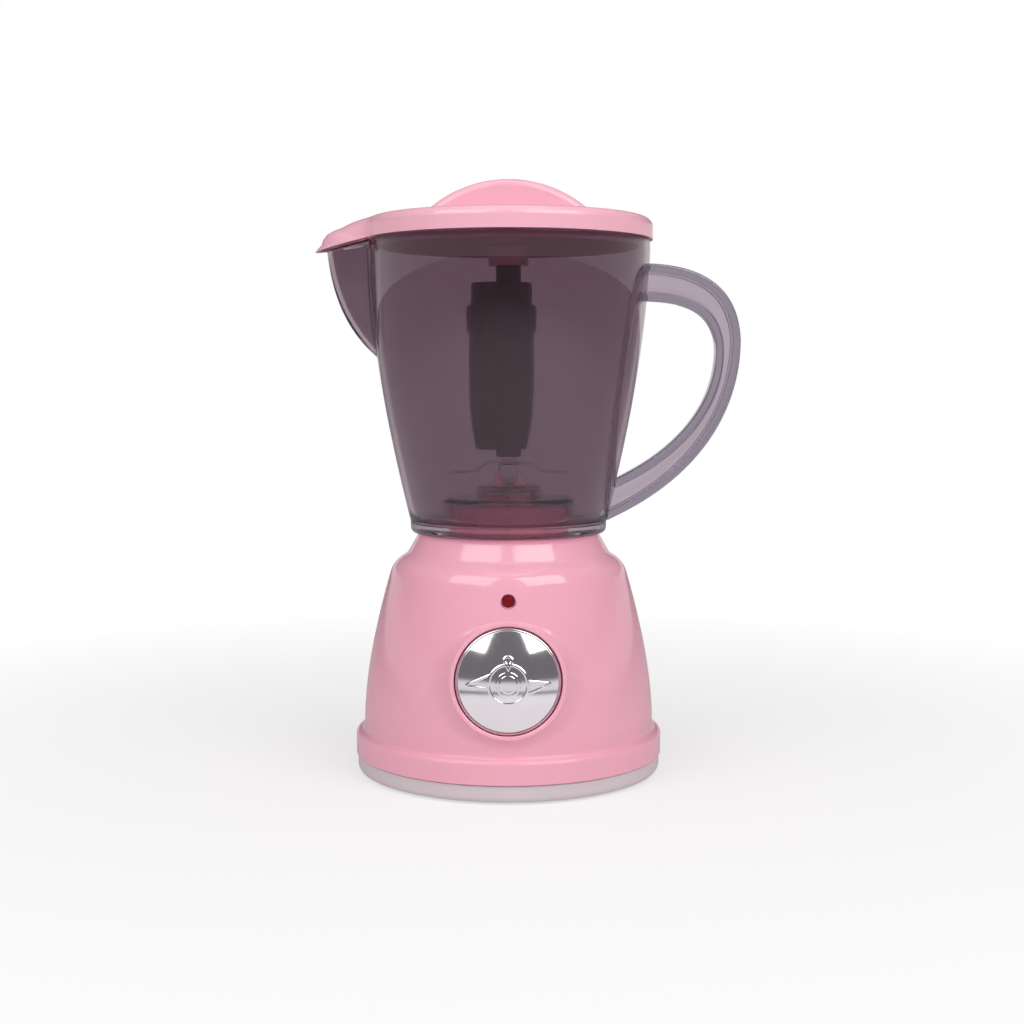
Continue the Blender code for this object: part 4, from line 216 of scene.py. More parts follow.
LID_RADIUS = 0.0569
LID_LOW = 0.2112
LID_CORNER_ROUND = 0.0038
LID_EDGE_TOP = 0.2196
LID_DOME_TOP = 0.2222
LID_WALL = 0.0020
PLUG_RADIUS = 0.0533
PLUG_WALL = 0.0018
PLUG_LOW = 0.2081
PLUG_TAPER = 0.0010
PLUG_ROOT_ROUND = 0.0004
PLUG_EDGE = 0.0005
PLUG_ROOF_ROUND = 0.0010
LID_BOSS_RADIUS = 0.0062
LID_BOSS_ROUND = 0.0008
LID_SOCKET_RADIUS = 0.0080
LID_SOCKET_TOP = 0.2088
LID_SOCKET_LOW = 0.2012
LID_SOCKET_END = 0.2122
LID_SOCKET_FLARE = (0.0020, 0.0012)
LID_SOCKET_EDGE = 0.0004
LID_BORE_EDGE = 0.0003
ROD_GAP = 0.0001
BEAK_ROOT = (0.0530, 0.2194)
BEAK_BROW = (0.0670, 0.2193)
BEAK_TIP = (0.0775, 0.2050)
BEAK_EDGE_DROP = 0.246
BEAK_WALL = 0.0018
BEAK_HALF_WIDTH = 0.0225
BEAK_BLEND = 0.0006
# The beak's hollow, from its tip in to the lid's edge
HOLLOW_TIP = (0.0016, 0.0066)
HOLLOW_BROW = (0.0010, 0.0012)
HOLLOW_ROOT = (0.0022, 0.0006)
HOLLOW_END = (0.0006, 0.0014)
HOLLOW_ROUND = 0.0030
HOLLOW_ROOT_ROUND = 0.0010
UNDER_INSETS = (0.0002, 0.0016)
UNDER_POINTS = 9
EDGE_TRIES = 20
GRIP_RADIUS = 0.0484
GRIP_TOP = 0.2348
GRIP_THICKNESS = 0.0130
GRIP_ROUND = 0.0032
GRIP_ROOT = 0.2200

ROD_RADIUS = 0.0050
ROD_LOW = 0.1258
ROD_TOP = 0.2119
ROD_ROUND = 0.0010
ROD_TOP_ROUND = 0.0004
ROD_FILLET = 0.0003
ROD_STOP_ROUND = 0.0005
ROD_STOP_RADIUS = 0.0076
ROD_STOP_TOP = 0.1729
ROD_STOP_LOW = 0.1711
SLEEVE_OFFSET = -0.0028
SLEEVE_BORE = 0.0082
SLEEVE_NECK = (0.0122, 0.1945)
SLEEVE_COLLAR = (0.0140, 0.1858, 0.1748)
SLEEVE_COLLAR_ROUND = 0.0022
SLEEVE_NECK_ROUND = 0.0005
SLEEVE_FILLET = 0.0004
SLEEVE_BASKET_RADIUS = 0.0128
SLEEVE_BELLY = (0.0142, 0.1430)
SLEEVE_FOOT = (0.0100, 0.1290)
SLEEVE_WALL = 0.0013
SLEEVE_LEDGE = 0.0016
SLEEVE_LEDGE_GAP = 0.0006

# The photograph's view
CAMERA_PLACE = (0.0014, -0.6216, 0.1578)
CAMERA_PITCH = math.radians(5.0)
CAMERA_LENS = 54.6
CAMERA_SENSOR = 36.0
CAMERA_CLIP = 0.01


# Curves and surfaces

def bend(start, control, end, steps):
    """Points along a quadratic curve, both ends included."""
    share = np.linspace(0, 1, steps + 1)[:, None]
    start, control, end = (np.array(point, float) for point in (start, control, end))
    return (1 - share) ** 2 * start + 2 * share * (1 - share) * control + share**2 * end


def cubic(corners, steps):
    """Points along a cubic curve through the first and last of four corners."""
    share = np.linspace(0, 1, steps + 1)[:, None]
    a, b, c, d = (np.array(point, float) for point in corners)
    rest = 1 - share
    return rest**3 * a + 3 * rest**2 * share * b + 3 * rest * share**2 * c + share**3 * d


def rounded(corners, steps=5):
    """A line through (radius, height, rounding) corners, each corner cut by an arc-like curve."""
    places = [np.array(corner[:2], float) for corner in corners]
    points = []
    for index, corner in enumerate(corners):
        size = corner[2] if len(corner) > 2 else 0
        here = places[index]
        if not size or index in (0, len(corners) - 1):
            points.append(here)
            continue
        before = places[index - 1] - here
        after = places[index + 1] - here
        reach_in = min(size, 0.45 * np.linalg.norm(before))
        reach_out = min(size, 0.45 * np.linalg.norm(after))
        start = here + before / np.linalg.norm(before) * reach_in
        end = here + after / np.linalg.norm(after) * reach_out
        points.extend(bend(start, here, end, steps))
    return np.array(points)


def spread(points, spacing):
    """The same line with extra points, none further apart than the spacing."""
    out = [points[0]]
    for start, end in zip(points, points[1:]):
        pieces = max(1, int(np.ceil(np.linalg.norm(end - start) / spacing)))
        for step in range(1, pieces + 1):
            out.append(start + (end - start) * step / pieces)
    return np.array(out)


def even_angles(steps):
    return np.linspace(0, math.tau, steps, endpoint=False)


def dense_angles(centre, half_spread, fine, coarse):
    """Angles round a full turn, finer round one direction."""
    inner = int(round(2 * half_spread / fine))
    outer = int(round((math.tau - 2 * half_spread) / coarse))
    near = np.linspace(-half_spread, half_spread, inner, endpoint=False)
    far = np.linspace(half_spread, math.tau - half_spread, outer, endpoint=False)
    return centre + np.concatenate([near, far])


def smooth_step(low, high, value):
    share = np.clip((value - low) / (high - low), 0, 1)
    return share * share * (3 - 2 * share)


def smooth_max(first, second, blend):
    """The larger of two values, joined softly where they are within the blend of each other."""
    share = np.clip(0.5 + 0.5 * (second - first) / blend, 0, 1)
    return first + (second - first) * share + blend * share * (1 - share)


def new_object(name, data):
    obj = bpy.data.objects.new(name, data)
    bpy.context.scene.collection.objects.link(obj)
    return obj


def mesh_object(name, points, faces, mat):
    """An object of one material over points and faces."""
    mesh = bpy.data.meshes.new(name)
    mesh.from_pydata([tuple(point) for point in points], [], faces)
    mesh.materials.append(mat)
    return new_object(name, mesh)


def weld(obj):
    """Merges points that coincide, and shades the object smooth with creases at sharp turns."""
    bm = bmesh.new()
    bm.from_mesh(obj.data)
    bmesh.ops.remove_doubles(bm, verts=bm.verts, dist=WELD)
    bmesh.ops.dissolve_degenerate(bm, edges=bm.edges, dist=WELD / 4)
    bmesh.ops.recalc_face_normals(bm, faces=bm.faces)
    bm.to_mesh(obj.data)
    bm.free()
    obj.data.shade_smooth()
    obj.data.set_sharp_from_angle(angle=CREASE)
    return obj


def grid_faces(rows, columns, wrap_rows=False):
    """The faces of a grid that closes round its rows, and over its ends if asked."""
    faces = []
    for row in range(rows if wrap_rows else rows - 1):
        here, after = row * columns, (row + 1) % rows * columns
        for column in range(columns):
            side = (column + 1) % columns
            faces.append((here + column, here + side, after + side, after + column))
    return faces


def capped(name, grid, mat):
    """A surface over a grid of points, closed by a flat face at each end."""
    rows, columns = grid.shape[:2]
    faces = grid_faces(rows, columns)
    faces += [tuple(range(columns))[::-1], tuple(range((rows - 1) * columns, rows * columns))]
    return weld(mesh_object(name, grid.reshape(-1, 3), faces, mat))


def skin(name, grid, mat, wrap_rows=False, keep=None):
    """A surface over a grid of points whose rows run round the piece."""
    rows, columns = grid.shape[:2]
    faces = grid_faces(rows, columns, wrap_rows=wrap_rows)
    if keep is not None:
        faces = [face for face in faces if all(keep[index // columns, index % columns]
                                               for index in face)]
    return weld(mesh_object(name, grid.reshape(-1, 3), faces, mat))


def around(radius, angles, height):
    """Points at a radius, an angle about Z and a height."""
    return np.stack(np.broadcast_arrays(
        radius * np.cos(angles), radius * np.sin(angles), height), axis=-1)


def turned_grid(profile, angles):
    """Rows of points made by turning a line of (radius, height) about Z."""
    return around(profile[:, 0][:, None], angles, profile[:, 1][:, None])


def placed(grid, transform):
    matrix = np.array(transform)
    return grid @ matrix[:3, :3].T + matrix[:3, 3]


def turned(name, profile, mat, steps, transform=None, closed=True):
    """A surface made by turning a line about Z, then placed."""
    grid = turned_grid(np.array(profile, float), even_angles(steps))
    if transform is not None:
        grid = placed(grid, transform)
    return skin(name, grid, mat, wrap_rows=closed)


def joined(name, *parts):
    """Several objects as one."""
    with bpy.context.temp_override(
            active_object=parts[0], selected_objects=parts, selected_editable_objects=parts):
        bpy.ops.object.join()
    parts[0].name = name
    return parts[0]


# Materials

def linear(red, green, blue):
    """A screen colour from 0 to 255 as linear light."""
    values = [value / 255 for value in (red, green, blue)]
    return tuple(
        value / 12.92 if value <= 0.04045 else ((value + 0.055) / 1.055) ** 2.4
        for value in values)


def new_material(name):
    mat = bpy.data.materials.new(name)
    mat.use_nodes = True
    return mat, mat.node_tree.nodes, mat.node_tree.links, mat.node_tree.nodes["Principled BSDF"]


def set_inputs(node, **values):
    """Sets a node's inputs by name, with _ for each space."""
    for socket, value in values.items():
        node.inputs[socket.replace("_", " ")].default_value = value


def worked(nodes, links, kind, operation, *sources):
    """A maths node, its sources linked in turn."""
    node = nodes.new(kind)
    node.operation = operation
    for index, source in enumerate(sources):
        links.new(source, node.inputs[index])
    return node


def scaled(nodes, links, coordinates, scale):
    """Coordinates stretched by three factors."""
    node = nodes.new("ShaderNodeMapping")
    set_inputs(node, Scale=scale)
    links.new(coordinates, node.inputs["Vector"])
    return node.outputs["Vector"]


def noise(nodes, links, coordinates, scale, detail):
    node = nodes.new("ShaderNodeTexNoise")
    set_inputs(node, Scale=scale, Detail=detail)
    links.new(coordinates, node.inputs["Vector"])
    return node.outputs["Fac"]


def ranged(nodes, links, value, low, high, source_low=0.3, source_high=0.7):
    """A value moved from its source range to a range from low to high."""
    node = nodes.new("ShaderNodeMapRange")
    set_inputs(node, From_Min=source_low, From_Max=source_high, To_Min=low, To_Max=high)
    links.new(value, node.inputs["Value"])
    return node.outputs["Result"]


def ramp(nodes, links, value, first, second, low=0.3, high=0.7):
    """A colour that goes from the first to the second as the value goes from low to high."""
    node = nodes.new("ShaderNodeValToRGB")
    for element, place, colour in zip(node.color_ramp.elements, (low, high), (first, second)):
        element.position = place
        element.color = (*colour, 1)
    links.new(value, node.inputs["Fac"])
    return node.outputs["Color"]


def relief(nodes, links, height, distance, under=None):
    """A bump of the surface, over another bump if there is one."""
    node = nodes.new("ShaderNodeBump")
    set_inputs(node, Strength=1.0, Distance=distance)
    links.new(height, node.inputs["Height"])
    if under is not None:
        links.new(under, node.inputs["Normal"])
    return node.outputs["Normal"]


def mixed(nodes, links, share, first, second, output="Material Output"):
    """Sends two shaders to the output, mixed by a share from 0 to 1."""
    mix = nodes.new("ShaderNodeMixShader")
    for index, source in enumerate((share, first, second)):
        links.new(source, mix.inputs[index])
    links.new(mix.outputs[0], nodes[output].inputs["Surface"])


def seen(nodes, links):
    """1 for what the camera sees, straight or through clear plastic, and 0 for all else."""
    path = nodes.new("ShaderNodeLightPath")
    return worked(
        nodes, links, "ShaderNodeMath", "MAXIMUM", path.outputs["Is Camera Ray"],
        path.outputs["Is Transmission Ray"]).outputs[0]


def shaded(colour, factor):
    return tuple(min(1.0, value * factor) for value in colour)


def finish(name, colour, roughness, vary, rough_vary, mottle=28.0, fine=620.0, bump=0.000012,
           scratch=0.0, **sockets):
    """A moulded or metal surface: mottled colour, uneven gloss and a fine relief."""
    mat, nodes, links, shader = new_material(name)
    place = nodes.new("ShaderNodeTexCoord").outputs["Object"]
    broad = noise(nodes, links, place, mottle, 4.0)
    links.new(
        ramp(nodes, links, broad, shaded(colour, 1 - vary), shaded(colour, 1 + vary)),
        shader.inputs["Base Color"])
    stretched = scaled(nodes, links, place, SMEAR_STRETCH)
    smears = noise(nodes, links, stretched, mottle * SMEAR_SCALE_SHARE, 5.0)
    lowest = max(roughness - rough_vary, LEAST_ROUGHNESS)
    links.new(
        ranged(nodes, links, smears, lowest, roughness + rough_vary), shader.inputs["Roughness"])
    normal = relief(nodes, links, noise(nodes, links, place, fine, 2.0), bump)
    if scratch:
        lines = noise(
            nodes, links, scaled(nodes, links, place, SCRATCH_STRETCH), SCRATCH_SCALE, 3.0)
        normal = relief(nodes, links, lines, scratch, normal)
    links.new(normal, shader.inputs["Normal"])
    set_inputs(shader, **sockets)
    return mat


def clear_plastic(name, colour, roughness, transmission=1.0, deep=None, middle=None):
    """A smoky clear plastic; its rails can be deeper and its middle, round the axis, paler."""
    mat, nodes, links, shader = new_material(name)
    place = nodes.new("ShaderNodeTexCoord").outputs["Object"]
    broad = noise(nodes, links, place, CLEAR_MOTTLE, 3.0)
    if deep:
        split = nodes.new("ShaderNodeSeparateXYZ")
        links.new(place, split.inputs[0])
        side = worked(nodes, links, "ShaderNodeMath", "ABSOLUTE", split.outputs["Y"])
        depth = ranged(nodes, links, side.outputs[0], 0, 1, *RAIL_TINT_DEPTHS)
        shade = ramp(nodes, links, depth, colour, deep, 0, 1)
    elif middle:
        flat = scaled(nodes, links, place, (1, 1, 0))
        away = worked(nodes, links, "ShaderNodeVectorMath", "LENGTH", flat)
        reach = ranged(nodes, links, away.outputs["Value"], 0, 1, *MIDDLE_TINT_RADII)
        shade = ramp(nodes, links, reach, middle, colour, 0, 1)
    else:
        shade = ramp(
            nodes, links, broad, shaded(colour, 1 - CLEAR_VARY), shaded(colour, 1 + CLEAR_VARY))
    links.new(shade, shader.inputs["Base Color"])
    low, high = (roughness * share for share in CLEAR_ROUGHNESS_SHARES)
    links.new(ranged(nodes, links, broad, low, high), shader.inputs["Roughness"])
    set_inputs(
        shader, Transmission_Weight=transmission, Specular_IOR_Level=CLEAR_GLOSS, IOR=CLEAR_IOR)
    # Lamp light passes as through tinted film, and the plastic is a solid to all other rays
    through = nodes.new("ShaderNodeBsdfTransparent")
    set_inputs(through, Color=(*CLEAR_TINT, 1))
    shadow = nodes.new("ShaderNodeLightPath").outputs["Is Shadow Ray"]
    mixed(nodes, links, shadow, shader.outputs[0], through.outputs[0])
    return mat


SMEAR_STRETCH = (1.0, 1.0, 0.35)
SMEAR_SCALE_SHARE = 3.1
SCRATCH_STRETCH = (14.0, 0.6, 1.0)
SCRATCH_SCALE = 240.0
LEAST_ROUGHNESS = 0.02
CLEAR_TINT = (0.93, 0.86, 0.90)
CLEAR_MOTTLE = 22.0
CLEAR_VARY = 0.015
CLEAR_ROUGHNESS_SHARES = (0.6, 1.4)
CLEAR_GLOSS = 0.3
CLEAR_IOR = 1.47
RAIL_TINT_DEPTHS = (WEB_DEPTH * 0.7, RAIL_DEPTH * 0.36)
MIDDLE_TINT_RADII = (WELL_RADIUS * 1.1, WELL_RADIUS * 1.25)
PINK = linear(240, 173, 190)
LID_PINK = linear(238, 178, 193)
WARM_WHITE = linear(212, 201, 205)
SOFT_GLOW = {"IOR": 1.50, "Subsurface_Weight": 0.08, "Subsurface_Scale": 0.003,
             "Subsurface_Radius": (1.0, 0.5, 0.5)}
METAL = {"scratch": 0.00001, "Metallic": 1.0}

# Colour, roughness, how much the colour and the roughness vary, and what else differs
SURFACES = {
    "pink_plastic": (PINK, 0.11, 0.012, 0.025, {"fine": 420.0, "bump": 0.000006, **SOFT_GLOW}),
    "lid_pink_plastic": (
        LID_PINK, 0.18, 0.012, 0.03, {"fine": 420.0, "bump": 0.000008, **SOFT_GLOW}),
    "white_plastic": (
        WARM_WHITE, 0.38, 0.015, 0.06, {"fine": 1400.0, "bump": 0.00002, "IOR": 1.49}),
    "dark_plastic": ((0.10, 0.026, 0.055), 0.30, 0.05, 0.06, {}),
    "chrome_plating": (
        (0.87, 0.86, 0.88), 0.09, 0.02, 0.015,
        {"mottle": 90.0, "fine": 900.0, "bump": 0.0000008, "Metallic": 1.0}),
    "blade_metal": ((0.60, 0.60, 0.62), 0.24, 0.05, 0.06, METAL),
    "steel_metal": ((0.55, 0.55, 0.56), 0.30, 0.06, 0.07, METAL),
    "bright_metal": ((0.70, 0.69, 0.67), 0.26, 0.05, 0.08, METAL),
    "brass_metal": ((0.72, 0.50, 0.20), 0.28, 0.06, 0.07, METAL),
    "green_board": ((0.02, 0.14, 0.05), 0.42, 0.12, 0.06, {"mottle": 300.0}),
    "red_lens": (
        (0.20, 0.003, 0.008), 0.16, 0.05, 0.03,
        {"mottle": 300.0, "IOR": 1.45, "Specular_IOR_Level": 0.3}),
    "black_plastic": (
        (0.020, 0.020, 0.022), 0.42, 0.10, 0.08, {"fine": 1400.0, "bump": 0.00002}),
    "natural_plastic": (
        (0.78, 0.76, 0.70), 0.42, 0.03, 0.06,
        {"IOR": 1.5, "Subsurface_Weight": 0.2, "Subsurface_Scale": 0.002}),
    "cell_skin": ((0.03, 0.06, 0.22), 0.30, 0.10, 0.06, {})}

# Colour, roughness and what else differs
CLEAR_SURFACES = {
    "smoke_clear": ((0.33, 0.25, 0.295), 0.0025, {"middle": (0.72, 0.58, 0.64)}),
    "handle_smoke": ((0.42, 0.35, 0.41), 0.0025, {"deep": (0.26, 0.22, 0.28)}),
    "dark_smoke": ((0.13, 0.035, 0.075), 0.14, {"transmission": 0.5})}


def make_materials():
    mats = {}
    for name, (*look, more) in SURFACES.items():
        mats[name] = finish(name, *look, **more)
    for name, (colour, roughness, more) in CLEAR_SURFACES.items():
        mats[name] = clear_plastic(name, colour, roughness, **more)
    return mats


# Base

def bell_profile():
    """The base's outer side from the boss's foot down to the seam."""
    angles = np.radians(np.linspace(90, 30, 9))
    edge = np.stack([
        NECK_TOP_RADIUS - DECK_ROUND + DECK_ROUND * np.cos(angles),
        DECK_HEIGHT - DECK_ROUND + DECK_ROUND * np.sin(angles)], axis=-1)
    neck = spread(np.array([edge[-1], (NECK_RADIUS, NECK_FOOT_HEIGHT)]), DECK_ROUND / 2)
    crease = bend((NECK_RADIUS, NECK_FOOT_HEIGHT), NECK_CREASE, SHOULDER[0], 10)
    shoulder = cubic(SHOULDER, 16)
    side = bend(
        (BELL_TOP_RADIUS, BELL_TOP_HEIGHT), (BELL_SWELL_RADIUS, BELL_SWELL_HEIGHT),
        (BELL_FOOT_RADIUS, BELL_FOOT_HEIGHT + FLANGE_SLOPE), 66)
    flange = rounded([
        side[-1], (BELL_FOOT_RADIUS + FLANGE_SLOPE, FLANGE_TOP + FLANGE_SLOPE, FLANGE_ROUND),
        (FLANGE_RADIUS, FLANGE_TOP - FLANGE_SLOPE, FLANGE_ROUND), (FLANGE_RADIUS, SEAM_HEIGHT)],
        8)
    deck = np.array([(BOSS_RADIUS - BASE_WALL, DECK_HEIGHT)])
    return np.concatenate([
        deck, edge, neck[1:], crease[1:], shoulder[1:], side[1:], flange[1:]])


BELL = bell_profile()


def bell_radius(height):
    """The base's outer radius at a height between the seam and the deck."""
    return np.interp(height, BELL[:0:-1, 1], BELL[:0:-1, 0])


KNOB_FRAME = (
    Matrix.Translation(KNOB_PLACE) @ Matrix.Rotation(math.pi / 2 - KNOB_TILT, 4, "X"))
LAMP_FRAME = Matrix.Translation(LAMP_PLACE) @ Matrix.Rotation(math.pi / 2, 4, "X")


def with_pad(across, up, depth):
    """A height over the knob's plane with the pad's face, which sinks into the bell at the top."""
    high = smooth_step(0, PAD_RADIUS, up)
    face = -PAD_SLOPE * np.maximum(np.hypot(across, up) - PAD_RADIUS, 0) - PAD_TOP_DROP * high
    return smooth_max(depth, face, PAD_BLEND + (PAD_TOP_BLEND - PAD_BLEND) * high)


def on_bell(across, up, transform, pad):
    """Points of the front surface over a plane's (across, up), with the pad's swell if asked."""
    low = np.full(across.shape, -FLANGE_RADIUS / 2)
    high = np.full(across.shape, FLANGE_RADIUS / 6)
    for _ in range(SETTLE_STEPS):
        middle = (low + high) / 2
        place = placed(np.stack([across, up, middle], axis=-1), transform)
        outside = np.hypot(place[..., 0], place[..., 1]) > bell_radius(place[..., 2])
        high = np.where(outside, middle, high)
        low = np.where(outside, low, middle)
    depth = (low + high) / 2
    if pad:
        depth = with_pad(across, up, depth)
    return placed(np.stack([across, up, depth], axis=-1), transform)


def opened(grid, rows, transform, radius, pad):
    """Cuts a round opening in the front of the grid: (kept points, moved grid)."""
    local = placed(grid[rows], transform.inverted())
    reach = np.hypot(local[..., 0], local[..., 1])
    inside = (local[..., 2] > -FLANGE_RADIUS / 2) & (reach < radius - OPENING_SLACK)
    near = inside
    for axis in (0, 1):
        near = near | np.roll(near, 1, axis) | np.roll(near, -1, axis)
    rim = near & ~inside
    plane = local[rim][:, :2] * (radius / reach[rim])[:, None]
    out = grid.copy()
    part = out[rows]
    part[rim] = on_bell(plane[:, 0], plane[:, 1], transform, pad)
    out[rows] = part
    keep = np.ones(grid.shape[:2], bool)
    keep[rows] = ~inside
    return keep, out


def opening(name, transform, outer, radius, lip_size, depth, floor_radius, pad, mat, steps):
    """The front surface round an opening, its rounded lip and the wall behind it."""
    angles = even_angles(steps)
    inward = np.array(transform)[:3, 2]

    def ring(reach):
        return on_bell(reach * np.cos(angles), reach * np.sin(angles), transform, pad)

    rows = [
        ring(reach) - inward * WELD * 3
        for reach in np.linspace(outer + OPENING_LAP, radius, PATCH_ROWS)]
    for share in np.linspace(0, 1, 8)[1:]:
        turn = share * math.pi / 2
        sunk = lip_size * (1 - math.cos(turn)) + WELD * 3
        rows.append(ring(radius - lip_size * math.sin(turn)) - inward * sunk)
    for reach, height in ((radius - lip_size, -depth), (floor_radius, -depth)):
        rows.append(placed(around(reach, angles, height), transform))
    return skin(name, np.array(rows), mat)


def build_base(mats):
    """The shell: the bell and its inside, the knob's pad and cup, the lamp's hole and the boss."""
    pink = mats["pink_plastic"]
    inner_side = bend(
        (BELL_FOOT_RADIUS - BASE_WALL, BELL_FOOT_HEIGHT),
        (BELL_SWELL_RADIUS - BASE_WALL, BELL_SWELL_HEIGHT),
        (BELL_TOP_RADIUS - BASE_WALL, BELL_TOP_HEIGHT - BASE_WALL), 12)
    inner = np.concatenate([
        [(FLANGE_RADIUS - BASE_WALL, SEAM_HEIGHT)],
        [(FLANGE_RADIUS - BASE_WALL, FLANGE_TOP - BASE_WALL)], inner_side,
        [(radius - BASE_WALL, height - BASE_WALL) for radius, height in (
            SHOULDER[1], SHOULDER[0], (NECK_RADIUS, NECK_FOOT_HEIGHT),
            (NECK_TOP_RADIUS, DECK_HEIGHT), (BOSS_RADIUS, DECK_HEIGHT))]])
    grid = turned_grid(np.concatenate([BELL, inner]), dense_angles(FRONT_SIDE, *BASE_TURN))
    rows = slice(0, len(BELL))
    local = placed(grid[rows], KNOB_FRAME.inverted())
    swell = (local[..., 2] > -FLANGE_RADIUS / 2) & (grid[rows][..., 2] < SHOULDER[0][1])
    swell &= grid[rows][..., 2] > FLANGE_TOP
    local[..., 2] = np.where(
        swell, with_pad(local[..., 0], local[..., 1], local[..., 2]), local[..., 2])
    grid[rows] = placed(local, KNOB_FRAME)
    keep, grid = opened(grid, rows, KNOB_FRAME, KNOB_PATCH_RADIUS, True)
    keep_lamp, grid = opened(grid, rows, LAMP_FRAME, LAMP_PATCH_RADIUS, False)
    shell = skin("base_shell_skin", grid, pink, wrap_rows=True, keep=keep & keep_lamp)
    cup = opening(
        "cup", KNOB_FRAME, KNOB_PATCH_RADIUS, RECESS_RADIUS + RECESS_LIP, RECESS_LIP,
        RECESS_DEPTH, SHAFT_HOLE_RADIUS, True, pink, 240)
    hole = opening(
        "hole", LAMP_FRAME, LAMP_PATCH_RADIUS, LAMP_HOLE_RADIUS + LAMP_LIP, LAMP_LIP,
        LAMP_DEPTH, LENS_RADIUS, False, pink, 72)
    return joined("base_shell_skin", shell, cup, hole, build_boss(pink))


def build_boss(mat):
    """The ribbed drum on the deck that the jar's foot sits over."""
    line = spread(rounded([
        (BOSS_HOLE_RADIUS, DECK_HEIGHT), (BOSS_HOLE_RADIUS, BOSS_TOP, BOSS_RIB_DEPTH),
        (BOSS_RADIUS, BOSS_TOP, BOSS_ROUND), (BOSS_RADIUS, DECK_HEIGHT - BASE_WALL / 2)]),
        BOSS_ROUND)
    angles = even_angles(360)
    grid = turned_grid(line, angles)
    half = BOSS_RIB_WIDTH / 2 / BOSS_RADIUS
    pitch = math.tau / BOSS_RIB_COUNT
    away = np.abs((angles + pitch / 2) % pitch - pitch / 2)
    edges = [half * share for share in BOSS_RIB_SHARES]
    rib = (1 - smooth_step(*edges, away)) * BOSS_RIB_DEPTH
    side = (line[:, 0] > BOSS_RADIUS - WELD)[:, None]
    grid[..., 0] += np.where(side, rib * np.cos(angles), 0)
    grid[..., 1] += np.where(side, rib * np.sin(angles), 0)
    return skin("boss", grid, mat)


def build_plate_rim(mats):
    """The visible rim of the base plate."""
    outer = PLATE_RADIUS + SKIN_GAP
    low = PLATE_BOTTOM - SKIN_GAP
    line = rounded([
        (outer - PLATE_ROUND - PLATE_RIM_WALL, low), (outer, low, PLATE_ROUND * 1.2),
        (outer, SEAM_HEIGHT - PLATE_RIM_WALL / 4, PLATE_RIM_WALL / 4),
        (outer - PLATE_RIM_WALL, SEAM_HEIGHT - PLATE_RIM_WALL / 4),
        (outer - PLATE_RIM_WALL, PLATE_BOTTOM + PLATE_ROUND, PLATE_ROUND / 2),
        (outer - PLATE_ROUND - PLATE_RIM_WALL, PLATE_BOTTOM + PLATE_RIM_WALL)], 12)
    return turned("base_plate_rim", line, mats["white_plastic"], 192)


# Knob and lamp

def knob_relief(across, up):
    """The height of the knob's ring, hub, wings and pointer over its dome."""
    drop = up + EMBLEM_DROP
    reach = np.hypot(across, drop)
    height = RING_HEIGHT * (1 - smooth_step(
        RING_HALF_WIDTH * RING_FLAT_SHARE, RING_HALF_WIDTH, np.abs(reach - RING_RADIUS)))
    hub = sum(1 - smooth_step(radius - HUB_EDGE, radius, reach) for radius in HUB_RADII)
    height = np.maximum(height, HUB_HEIGHT * hub)
    for side in (-1, 1):
        point = np.stack([across * side, drop * side], axis=-1)
        inside = np.full(across.shape, WING[1][0])
        for start, end in zip(WING, WING[1:] + WING[:1]):
            run = np.array(end) - np.array(start)
            run /= np.linalg.norm(run)
            away = point - np.array(start)
            inside = np.minimum(inside, away[..., 1] * -run[0] + away[..., 0] * run[1])
        inside = np.where(reach > RING_RADIUS, inside, -1)
        line = smooth_step(0, WING_LINE / 2, inside)
        line = line * (1 - smooth_step(WING_LINE, WING_LINE * 1.5, inside))
        plate = smooth_step(0, WING_LINE, inside)
        lift = WING_PLATE_SHARE * plate + (1 - WING_PLATE_SHARE) * line
        height = np.maximum(height, WING_HEIGHT * lift)
    length = POINTER_REACH - POINTER_LOW
    lean = math.asin(POINTER_RADIUS / length)
    half, rise = np.abs(across), up - POINTER_LOW
    flank = half * math.cos(lean) - rise * math.sin(lean)
    bulb = np.hypot(across, up - POINTER_REACH) - POINTER_RADIUS
    past = half * math.sin(lean) + rise * math.cos(lean) > length * math.cos(lean)
    edge = np.where(past, bulb, flank)
    tear = 1 - smooth_step(-POINTER_RADIUS * POINTER_EDGE_SHARE, 0, edge)
    dip = 1 - smooth_step(*(-POINTER_RADIUS * share for share in POINTER_DIP_SHARES), edge)
    return np.maximum(height, POINTER_HEIGHT * (tear - POINTER_DIP_DEPTH_SHARE * dip))


def build_knob(mats):
    """The chromed knob as a relief over a dome, with its rim and skirt."""
    angles = even_angles(420)
    face = KNOB_RADIUS - KNOB_RIM
    radii = np.concatenate([
        [AXIS_RADIUS], np.linspace(KNOB_CENTRE, face, 150),
        [face + place for place, _ in KNOB_GROOVE[1:]],
        KNOB_RADIUS - KNOB_RIM_ROUND * np.array(KNOB_RIM_SHARES)])
    across = radii[:, None] * np.cos(angles)
    up = radii[:, None] * np.sin(angles)
    dome = KNOB_DOME * (1 - (np.minimum(radii, face) / face) ** 2)
    dips = [(face + place, height) for place, height in KNOB_GROOVE]
    dips += [(KNOB_RADIUS + place, height) for place, height in KNOB_RIM_EDGE]
    dip = np.interp(radii, *np.transpose(dips))
    height = -KNOB_SUNK + (dome + dip)[:, None] + knob_relief(across, up)
    rows = [np.stack([across, up, height], axis=-1)]
    back, inner, roof = -KNOB_SUNK - KNOB_SKIRT, KNOB_RADIUS - KNOB_WALL, -KNOB_SUNK - KNOB_WALL
    for reach, low in ((KNOB_RADIUS, back), (inner, back), (inner, roof), (AXIS_RADIUS, roof)):
        rows.append(around(reach, angles, low)[None])
    grid = placed(np.concatenate(rows), KNOB_FRAME)
    return skin("knob_cap_skin", grid, mats["chrome_plating"])


